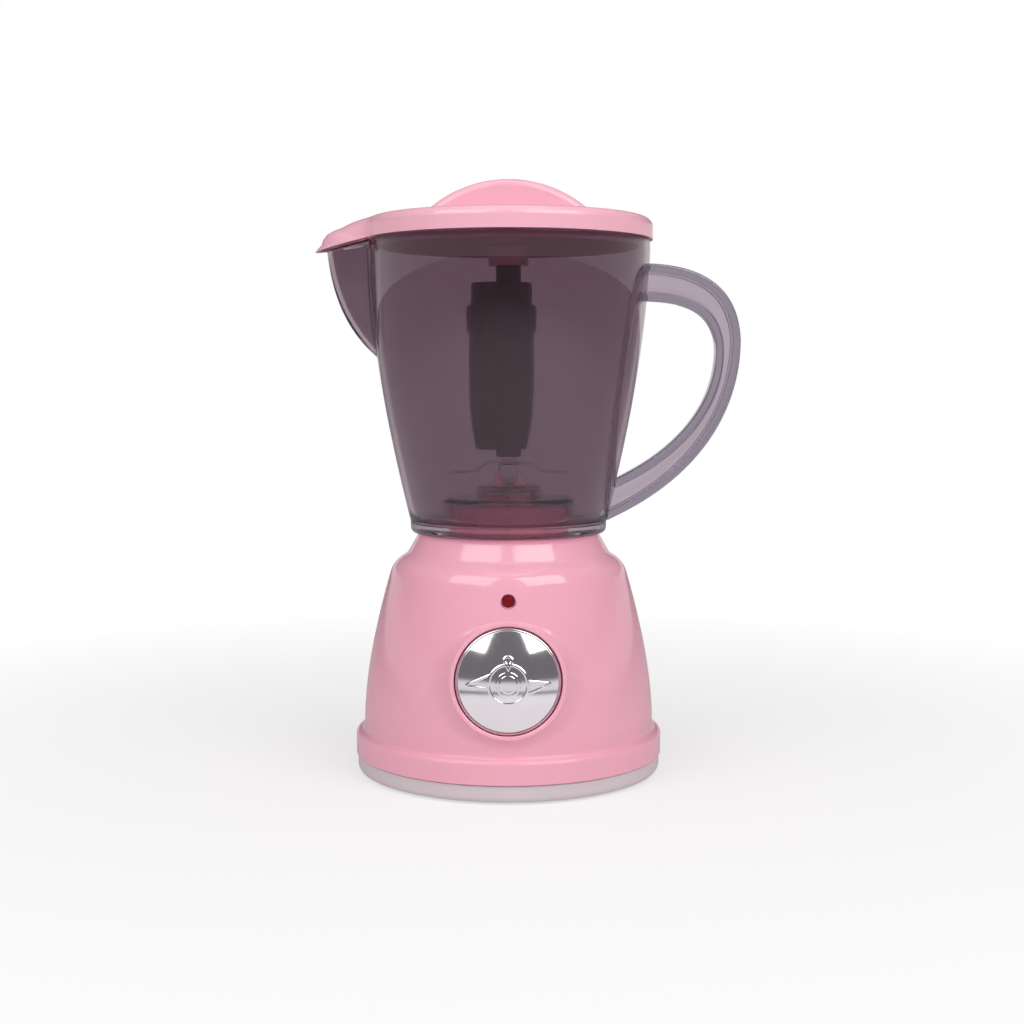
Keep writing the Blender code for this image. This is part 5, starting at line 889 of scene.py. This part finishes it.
def build_lens(mats):
    """The lamp's lens: a shallow cap with a ring pressed into it."""
    line = spread(np.array(LENS_LINE), LENS_SPACING)
    return turned("lamp_lens_skin", line, mats["red_lens"], 64, LAMP_FRAME, closed=False)


# Jar, spout and handle

def jar_profile(offset=0.0):
    """The jar's side from its bead down to its foot."""
    side = bend(
        (JAR_TOP_RADIUS, JAR_BEAD_HEIGHT), (JAR_SWELL_RADIUS, JAR_SWELL_HEIGHT),
        (JAR_FOOT_RADIUS, JAR_FOOT_HEIGHT), 60)
    top = [(JAR_TOP_RADIUS - JAR_BEAD_TAPER, JAR_TOP)]
    return np.concatenate([top, side]) + np.array((offset, 0))


def jar_radius(height, offset=0.0):
    line = jar_profile(offset)[::-1]
    return np.interp(height, line[:, 1], line[:, 0])


def lobe_share(angle, half_angle):
    """1 at the spout's middle, easing to 0 at the half angle on each side of it."""
    place = np.clip((angle - SPOUT_SIDE) / half_angle, -1, 1)
    return (1 + np.cos(math.pi * place)) / 2


def spout_radius(height, angle, inset):
    """The spout's distance from the axis; less than the jar's radius where there is no spout."""
    curve = bend(SPOUT_FOOT, SPOUT_BELLY, SPOUT_TIP, SPOUT_STEPS)
    height = height - inset
    reach = np.interp(height, curve[:, 1], curve[:, 0]) - inset
    share = np.interp(height, curve[:, 1], np.linspace(0, 1, SPOUT_STEPS + 1))
    edge = jar_radius(height, -inset) - SPOUT_SINK
    half_width = SPOUT_HALF_WIDTHS[0] + (SPOUT_HALF_WIDTHS[1] - SPOUT_HALF_WIDTHS[0]) * share
    half_angle = np.arcsin((half_width - inset) / edge)
    radius = edge + (reach - edge) * lobe_share(angle, half_angle)
    return np.where(height < SPOUT_FOOT[1], 0, radius)


def mouth_height(angle):
    """The height of the jar's rim, lower at the spout."""
    out = lobe_share(angle, math.asin(SPOUT_HALF_WIDTHS[1] / JAR_TOP_RADIUS))
    return JAR_TOP - SPOUT_DROP * out - MOUTH_DIP * smooth_step(0, MOUTH_DIP_SHARE, out)


def jar_foot(start):
    """The jar's underside, well and floor, from the end of its side to its inner wall."""
    ring = JAR_FOOT_RADIUS - JAR_FOOT_ROUND
    floor = JAR_FOOT_RADIUS - JAR_WALL
    bush = STEP_RADIUS + WELL_WALL
    drum, drum_top = WELL_RADIUS + WELL_WALL, WELL_CEILING + WELL_WALL
    return rounded([
        start, (JAR_FOOT_RADIUS - FOOT_TAPER, JAR_BOTTOM, JAR_FOOT_ROUND),
        (ring - FOOT_RING_WIDTHS[0], JAR_BOTTOM, FOOT_RING_EDGE),
        (ring - FOOT_RING_WIDTHS[1], JAR_FLOOR_LOW, FOOT_RING_EDGE),
        (WELL_RADIUS, JAR_FLOOR_LOW, WELL_EDGE), (WELL_RADIUS, WELL_CEILING, WELL_EDGE),
        (STEP_RADIUS, WELL_CEILING, STEP_EDGE), (STEP_RADIUS, STEP_CEILING, STEP_EDGE),
        (BUSH_HOLE_RADIUS, STEP_CEILING, BUSH_EDGE), (BUSH_HOLE_RADIUS, STEP_TOP, BUSH_EDGE),
        (bush, STEP_TOP, STEP_TOP_ROUND), (bush, drum_top, STEP_TOP_ROUND),
        (drum, drum_top, WELL_ROUND), (drum, JAR_FLOOR_TOP, WELL_FOOT_ROUND),
        (floor - FLOOR_INSET, JAR_FLOOR_TOP, WELL_ROUND),
        (floor + FLOOR_SIDE[0], JAR_FOOT_HEIGHT + FLOOR_SIDE[1])], 6)


def build_jar(mats):
    """The jar's wall with its spout, rim, foot and floor, as one closed skin."""
    angles = dense_angles(SPOUT_SIDE, *JAR_TURN)
    top = mouth_height(angles)

    def wall(inset, spout_inset):
        """Radii and heights of one face of the wall above the spout's start."""
        shares = np.linspace(0, 1, 46)[:, None]
        heights = SPOUT_START + (top[None] - JAR_RIM_ROUND - SPOUT_START) * shares
        spout = spout_radius(heights, angles[None], spout_inset)
        return smooth_max(jar_radius(heights, -inset), spout, SPOUT_BLEND), heights

    outer_radius, outer_height = wall(0.0, 0.0)
    inner_radius, inner_height = wall(JAR_WALL, SPOUT_WALL)

    def rim(radius, side, shares):
        """The rounded rim's rows on one side of the wall."""
        turns = [share * math.pi / 2 for share in shares]
        return np.array([
            around(radius + side * JAR_RIM_ROUND * (1 - math.cos(turn)), angles,
                   outer_height[-1] + JAR_RIM_ROUND * math.sin(turn)) for turn in turns])

    top_end = SPOUT_START - SPOUT_START_GAP
    low_side = jar_profile()
    low_side = low_side[low_side[:, 1] < top_end]
    inner_low = jar_profile(-JAR_WALL)[::-1]
    inner_low = inner_low[
        (inner_low[:, 1] > JAR_FOOT_HEIGHT + INNER_START) & (inner_low[:, 1] < top_end)]
    low_line = np.concatenate([low_side, jar_foot(low_side[-1])[1:], inner_low])
    grid = np.concatenate([
        rim(outer_radius[-1], -1, RIM_SHARES[::-1]),
        around(outer_radius[::-1], angles, outer_height[::-1]), turned_grid(low_line, angles),
        around(inner_radius, angles, inner_height), rim(inner_radius[-1], 1, RIM_SHARES)])
    return skin("jar_body", grid, mats["smoke_clear"], wrap_rows=True)


def past_wall(line):
    """The first and the last index of a line's points outside the jar's wall."""
    gap = line[:, 0] - (jar_radius(line[:, 1]) + HANDLE_GAP)
    outside = np.nonzero(gap > 0)[0]
    return outside[0], outside[-1]


def on_wall(points, direction):
    """Points moved along a direction in the XZ plane until they lie on the jar's wall."""
    moved = points.copy()
    for _ in range(WALL_TRIES):
        gap = np.hypot(moved[:, 0], moved[:, 1]) - (jar_radius(moved[:, 2]) + HANDLE_GAP)
        moved[:, 0] += gap * direction[0]
        moved[:, 2] += gap * direction[1]
    return moved


def handle_section(size):
    """The outline of the handle across its run: two rails and the web between them."""
    half, web = RAIL_DEPTH / 2, WEB_DEPTH / 2
    corners = [(size, 0)]
    for side in (1, -1):
        steps = [
            (size, half, RAIL_ROUND), (size - RAIL_WIDTH, half, RAIL_EDGE),
            (size - RAIL_WIDTH, web, WEB_FILLET), (RAIL_WIDTH, web, WEB_FILLET),
            (RAIL_WIDTH, half, RAIL_EDGE), (0, half, RAIL_ROUND)]
        corners += [(run, rise * side, cut) for run, rise, cut in steps[::side]]
    return rounded(corners + [(size, 0)], 4)[:-1]


def build_handle(mats):
    """The handle: its section swept between two curves, its ends laid on the jar's wall."""
    outer, inner = (
        np.concatenate([cubic(top, HANDLE_STEPS), cubic(low, HANDLE_STEPS)[1:]])
        for top, low in (HANDLE_OUTER, HANDLE_INNER))
    middle = (outer + inner) / 2
    start, end = past_wall(middle)
    sections = []
    for low, high in zip(inner[start:end + 1], outer[start:end + 1]):
        size = np.linalg.norm(high - low)
        outline = handle_section(size)
        place = low + outline[:, :1] * (high - low) / size
        sections.append(np.stack([place[:, 0], outline[:, 1], place[:, 1]], axis=-1))
    grid = np.array(sections)
    steps = middle[start:end + 1]
    for index, neighbour in ((0, 1), (-1, -2)):
        run = steps[index] - steps[neighbour]
        run /= np.linalg.norm(run)
        grid[index] = on_wall(grid[index], run / max(abs(run[0]), HANDLE_RUN_LEAST))
    return capped("jar_handle_skin", grid, mats["handle_smoke"])


# Lid, grip, rod and strainer

def lid_radius(height):
    """The lid's own outer radius at a height below its top edge."""
    rise = np.clip(height - (LID_EDGE_TOP - LID_CORNER_ROUND), 0, LID_CORNER_ROUND)
    return LID_RADIUS - LID_CORNER_ROUND + np.sqrt(LID_CORNER_ROUND**2 - rise**2)


BROW = bend(BEAK_ROOT, BEAK_BROW, BEAK_TIP, 120)[::-1]


def edge_radius(height, swell):
    """The outer radius of the lid with its beak, whose swell is a share of its middle's."""
    own = lid_radius(height)
    start = own - BEAK_BLEND / 2
    lobe = start + (np.interp(height, BROW[:, 1], BROW[:, 0]) - start) * swell
    return smooth_max(own, lobe, BEAK_BLEND)


def beak_hollow(tip, tip_low):
    """The line of the beak's hollow, from its tip in to the lid's edge."""
    roof = BEAK_BROW[1] - BEAK_WALL
    line = rounded([
        (tip - BEAK_WALL, tip_low + BEAK_WALL * BEAK_EDGE_DROP),
        (tip - BEAK_WALL - HOLLOW_TIP[0], tip_low + HOLLOW_TIP[1], HOLLOW_ROUND),
        (BEAK_BROW[0] - HOLLOW_BROW[0], roof - HOLLOW_BROW[1], HOLLOW_ROUND),
        (LID_RADIUS + HOLLOW_ROOT[0], roof - HOLLOW_ROOT[1], HOLLOW_ROOT_ROUND),
        (LID_RADIUS + HOLLOW_END[0], LID_LOW + HOLLOW_END[1])], 3)
    picks = np.linspace(0, len(line) - 1, UNDER_POINTS)
    return np.stack([
        np.interp(picks, np.arange(len(line)), line[:, axis]) for axis in range(2)], axis=-1)


def lid_plug():
    """The line under the lid: its plug, its roof and the socket that holds the rod."""
    roof = LID_EDGE_TOP - LID_WALL
    inner = PLUG_RADIUS - PLUG_WALL
    bore = ROD_RADIUS + ROD_GAP
    return rounded([
        (PLUG_RADIUS + PLUG_TAPER, LID_LOW), (PLUG_RADIUS, LID_LOW, PLUG_ROOT_ROUND),
        (PLUG_RADIUS, PLUG_LOW, PLUG_EDGE), (inner, PLUG_LOW, PLUG_EDGE),
        (inner, roof, PLUG_ROOF_ROUND),
        (LID_SOCKET_RADIUS + LID_SOCKET_FLARE[0], roof + LID_SOCKET_FLARE[1]),
        (LID_BOSS_RADIUS, LID_DOME_TOP - LID_WALL, LID_BOSS_ROUND),
        (LID_BOSS_RADIUS, LID_SOCKET_TOP, LID_BORE_EDGE),
        (LID_SOCKET_RADIUS, LID_SOCKET_TOP, LID_SOCKET_EDGE),
        (LID_SOCKET_RADIUS, LID_SOCKET_LOW, LID_SOCKET_EDGE),
        (bore, LID_SOCKET_LOW, LID_BORE_EDGE), (bore, LID_SOCKET_END),
        (AXIS_RADIUS, LID_SOCKET_END)], 4)


def build_lid(mats):
    """The lid with its beak, a swelling of its edge over the jar's spout."""
    flat = LID_RADIUS - LID_CORNER_ROUND
    dome = bend((AXIS_RADIUS, LID_DOME_TOP), (flat / 2, LID_DOME_TOP), (flat, LID_EDGE_TOP), 22)
    angles = dense_angles(SPOUT_SIDE, *LID_TURN)
    swell = lobe_share(angles, math.asin(BEAK_HALF_WIDTH / LID_RADIUS))
    low = np.full(angles.shape, LID_LOW)
    for _ in range(EDGE_TRIES):
        low = LID_LOW - (edge_radius(low, swell) - LID_RADIUS) * BEAK_EDGE_DROP
    turns = np.radians(np.linspace(90, 0, 41))[1:]
    corner = LID_EDGE_TOP - LID_CORNER_ROUND * (1 - np.sin(turns))
    heights = np.concatenate([
        np.repeat(corner[:, None], len(angles), axis=1),
        corner[-1] + (low - corner[-1]) * np.linspace(0, 1, 21)[1:, None]])
    radii = edge_radius(heights, swell)
    hollow = beak_hollow(radii[-1].max(), low.min())
    under = np.linspace(
        LID_RADIUS - UNDER_INSETS[0], PLUG_RADIUS + UNDER_INSETS[1], UNDER_POINTS)
    under = np.stack([under, np.full(UNDER_POINTS, LID_LOW)], axis=-1)
    weight = swell[None, :, None]
    inside = under[:, None] * (1 - weight) + hollow[:, None] * weight
    grid = np.concatenate([
        turned_grid(dome, angles), around(radii, angles, heights),
        around(inside[..., 0], angles, inside[..., 1]), turned_grid(lid_plug(), angles)])
    return skin("lid_skin", grid, mats["lid_pink_plastic"])


def build_grip(mats):
    """The half-moon grip on the lid, with a rounded edge."""
    centre = GRIP_TOP - GRIP_RADIUS
    half = math.acos((GRIP_ROOT - centre) / GRIP_RADIUS)
    turns = np.linspace(-half, half, 73)
    flat = GRIP_THICKNESS / 2 - GRIP_ROUND
    sections = [
        (-flat - GRIP_ROUND * math.sin(angle), GRIP_RADIUS - GRIP_ROUND * (1 - math.cos(angle)))
        for angle in np.radians(np.linspace(90, 0, 9))]
    sections += [(-along, radius) for along, radius in sections[::-1]]
    grid = np.array([
        np.stack([
            radius * np.sin(turns), np.full(turns.shape, along), centre + radius * np.cos(turns)],
            axis=-1)
        for along, radius in sections])
    return capped("lid_grip", grid, mats["lid_pink_plastic"])


def build_rod(mats):
    """The rod under the lid, with the stop that carries the sleeve's ledge."""
    line = rounded([
        (0, ROD_TOP), (ROD_RADIUS, ROD_TOP, ROD_TOP_ROUND), (ROD_RADIUS, ROD_STOP_TOP, ROD_FILLET),
        (ROD_STOP_RADIUS, ROD_STOP_TOP, ROD_STOP_ROUND),
        (ROD_STOP_RADIUS, ROD_STOP_LOW, ROD_STOP_ROUND),
        (ROD_RADIUS, ROD_STOP_LOW, ROD_FILLET), (ROD_RADIUS, ROD_LOW, ROD_ROUND), (0, ROD_LOW)])
    return turned("plunger_rod_skin", line, mats["dark_plastic"], 96, closed=False)


def build_strainer(mats):
    """The sleeve round the rod: a neck, a collar and a hollow basket below them."""
    radius, top, bottom = SLEEVE_COLLAR
    ledge = bottom - SLEEVE_LEDGE
    basket = bend((SLEEVE_BASKET_RADIUS, bottom), SLEEVE_BELLY, SLEEVE_FOOT, 18)
    inside = basket[::-1][:-1] + np.array((-SLEEVE_WALL, SLEEVE_WALL))
    below = inside[:, 1] < ledge - SLEEVE_LEDGE_GAP
    inside = inside[below & (inside[:, 0] > SLEEVE_BORE)]
    line = np.concatenate([
        rounded([
            (SLEEVE_BORE, SLEEVE_NECK[1]), (*SLEEVE_NECK, SLEEVE_NECK_ROUND),
            (SLEEVE_NECK[0], top, SLEEVE_FILLET), (radius, top, SLEEVE_COLLAR_ROUND),
            (radius, bottom, SLEEVE_COLLAR_ROUND), tuple(basket[0])], 7),
        basket[1:],
        [(SLEEVE_BORE, SLEEVE_FOOT[1]), (SLEEVE_BORE, SLEEVE_FOOT[1] + SLEEVE_WALL)],
        inside, [(SLEEVE_BASKET_RADIUS - SLEEVE_WALL, ledge), (SLEEVE_BORE, ledge)]])
    return turned(
        "strainer_skin", line, mats["dark_smoke"], 96, Matrix.Translation((SLEEVE_OFFSET, 0, 0)))


# Studio

FLOOR_SIZE = 12
FLOOR_COLOUR = (0.86, 0.83, 0.845, 1)
FLOOR_ROUGHNESS = 0.7
FLOOR_GLOSS = 0.2
# How white the floor is at the object and far from it, and the two distances
FLOOR_FADE = (0.62, 1.0, 0.06, 0.42)
DOME_STRENGTH = 0.90
DOME_BRIGHT = (0.85, 0.83, 0.84)
DOME_DARK = (0.19, 0.175, 0.19)
DOME_RISE = (0.10, 0.15)
WHITE = (1, 1, 1, 1)
LIGHT_TARGET = (0, 0, 0.11)
# Name, azimuth, elevation, distance, width, height and power
SOFTBOXES = (
    ("key_right", 39, 42.5, 0.95, 0.66, 0.54, 5.0),
    ("key_left", -41, 42.5, 0.95, 0.66, 0.54, 3.9),
    ("top", 0, 84, 1.1, 0.6, 0.6, 1.4))


def build_floor():
    """A floor that catches the shadow and fades to white away from the object."""
    bpy.ops.mesh.primitive_plane_add(size=FLOOR_SIZE, location=(0, 0, 0))
    floor = bpy.context.object
    floor.name = "floor"
    mat, nodes, links, shader = new_material("floor")
    set_inputs(
        shader, Base_Color=FLOOR_COLOUR, Roughness=FLOOR_ROUGHNESS, Specular_IOR_Level=FLOOR_GLOSS)
    glow = nodes.new("ShaderNodeEmission")
    set_inputs(glow, Color=WHITE)
    place = nodes.new("ShaderNodeTexCoord").outputs["Object"]
    distance = worked(nodes, links, "ShaderNodeVectorMath", "LENGTH", place)
    fade = ranged(nodes, links, distance.outputs["Value"], *FLOOR_FADE)
    share = worked(nodes, links, "ShaderNodeMath", "MULTIPLY", seen(nodes, links), fade)
    mixed(nodes, links, share.outputs[0], shader.outputs[0], glow.outputs[0])
    floor.data.materials.append(mat)


def build_world():
    """White where it is seen, and a soft grey dome for light and for reflections."""
    world = bpy.data.worlds.new("studio")
    bpy.context.scene.world = world
    world.use_nodes = True
    nodes, links = world.node_tree.nodes, world.node_tree.links
    dome = nodes["Background"]
    set_inputs(dome, Strength=DOME_STRENGTH)
    split = nodes.new("ShaderNodeSeparateXYZ")
    links.new(nodes.new("ShaderNodeTexCoord").outputs["Generated"], split.inputs[0])
    tone = ramp(nodes, links, split.outputs["Z"], DOME_BRIGHT, DOME_DARK, *DOME_RISE)
    links.new(tone, dome.inputs["Color"])
    white = nodes.new("ShaderNodeBackground")
    set_inputs(white, Color=WHITE)
    mixed(nodes, links, seen(nodes, links), dome.outputs[0], white.outputs[0], "World Output")


def softbox(name, azimuth, elevation, distance, width, height, power):
    """A flat lamp aimed at the object, azimuth from the front towards the right."""
    turn, rise = math.radians(azimuth), math.radians(elevation)
    flat = math.cos(rise)
    away = Vector((math.sin(turn) * flat, -math.cos(turn) * flat, math.sin(rise)))
    data = bpy.data.lights.new(name, "AREA")
    data.shape = "RECTANGLE"
    data.size = width
    data.size_y = height
    data.energy = power
    lamp = new_object(name, data)
    lamp.location = Vector(LIGHT_TARGET) + away * distance
    lamp.rotation_euler = away.to_track_quat("Z", "Y").to_euler()
    lamp.visible_camera = False
    lamp.visible_transmission = False


def build_camera():
    """The camera that took the photograph, as fitted to it."""
    data = bpy.data.cameras.new("camera")
    data.lens = CAMERA_LENS
    data.sensor_width = CAMERA_SENSOR
    data.clip_start = CAMERA_CLIP
    camera = new_object("camera", data)
    camera.location = CAMERA_PLACE
    camera.rotation_euler = (math.pi / 2 - CAMERA_PITCH, 0, 0)
    bpy.context.scene.camera = camera


MATS = make_materials()
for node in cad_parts.values():
    for material_slot in node.material_slots:
        name = material_slot.material.name.split(".")[0]
        if name in MATS:
            material_slot.material = MATS[name]

for piece, body, slot, nodes in (
        (build_base(MATS), "base", "pink_plastic", ("base_shell",)),
        (build_plate_rim(MATS), "base", "white_plastic", ()),
        (build_knob(MATS), "knob", "chrome_plating", ("knob_cap",)),
        (build_lens(MATS), "base", "red_lens", ("lamp_lens",)),
        (build_jar(MATS), "jar", "smoke_clear", ("jar_shell",)),
        (build_handle(MATS), "jar", "smoke_clear", ("jar_handle",)),
        (build_lid(MATS), "lid", "lid_pink_plastic", ("lid_shell",)),
        (build_grip(MATS), "lid", "lid_pink_plastic", ("lid_shell",)),
        (build_rod(MATS), "lid", "dark_plastic", ("plunger_rod",)),
        (build_strainer(MATS), "lid", "dark_smoke", ("strainer_sleeve",))):
    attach(piece, body)
    if nodes:
        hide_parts(*nodes)

build_floor()
build_world()
for box in SOFTBOXES:
    softbox(*box)
build_camera()
bpy.context.scene.view_settings.view_transform = "Standard"
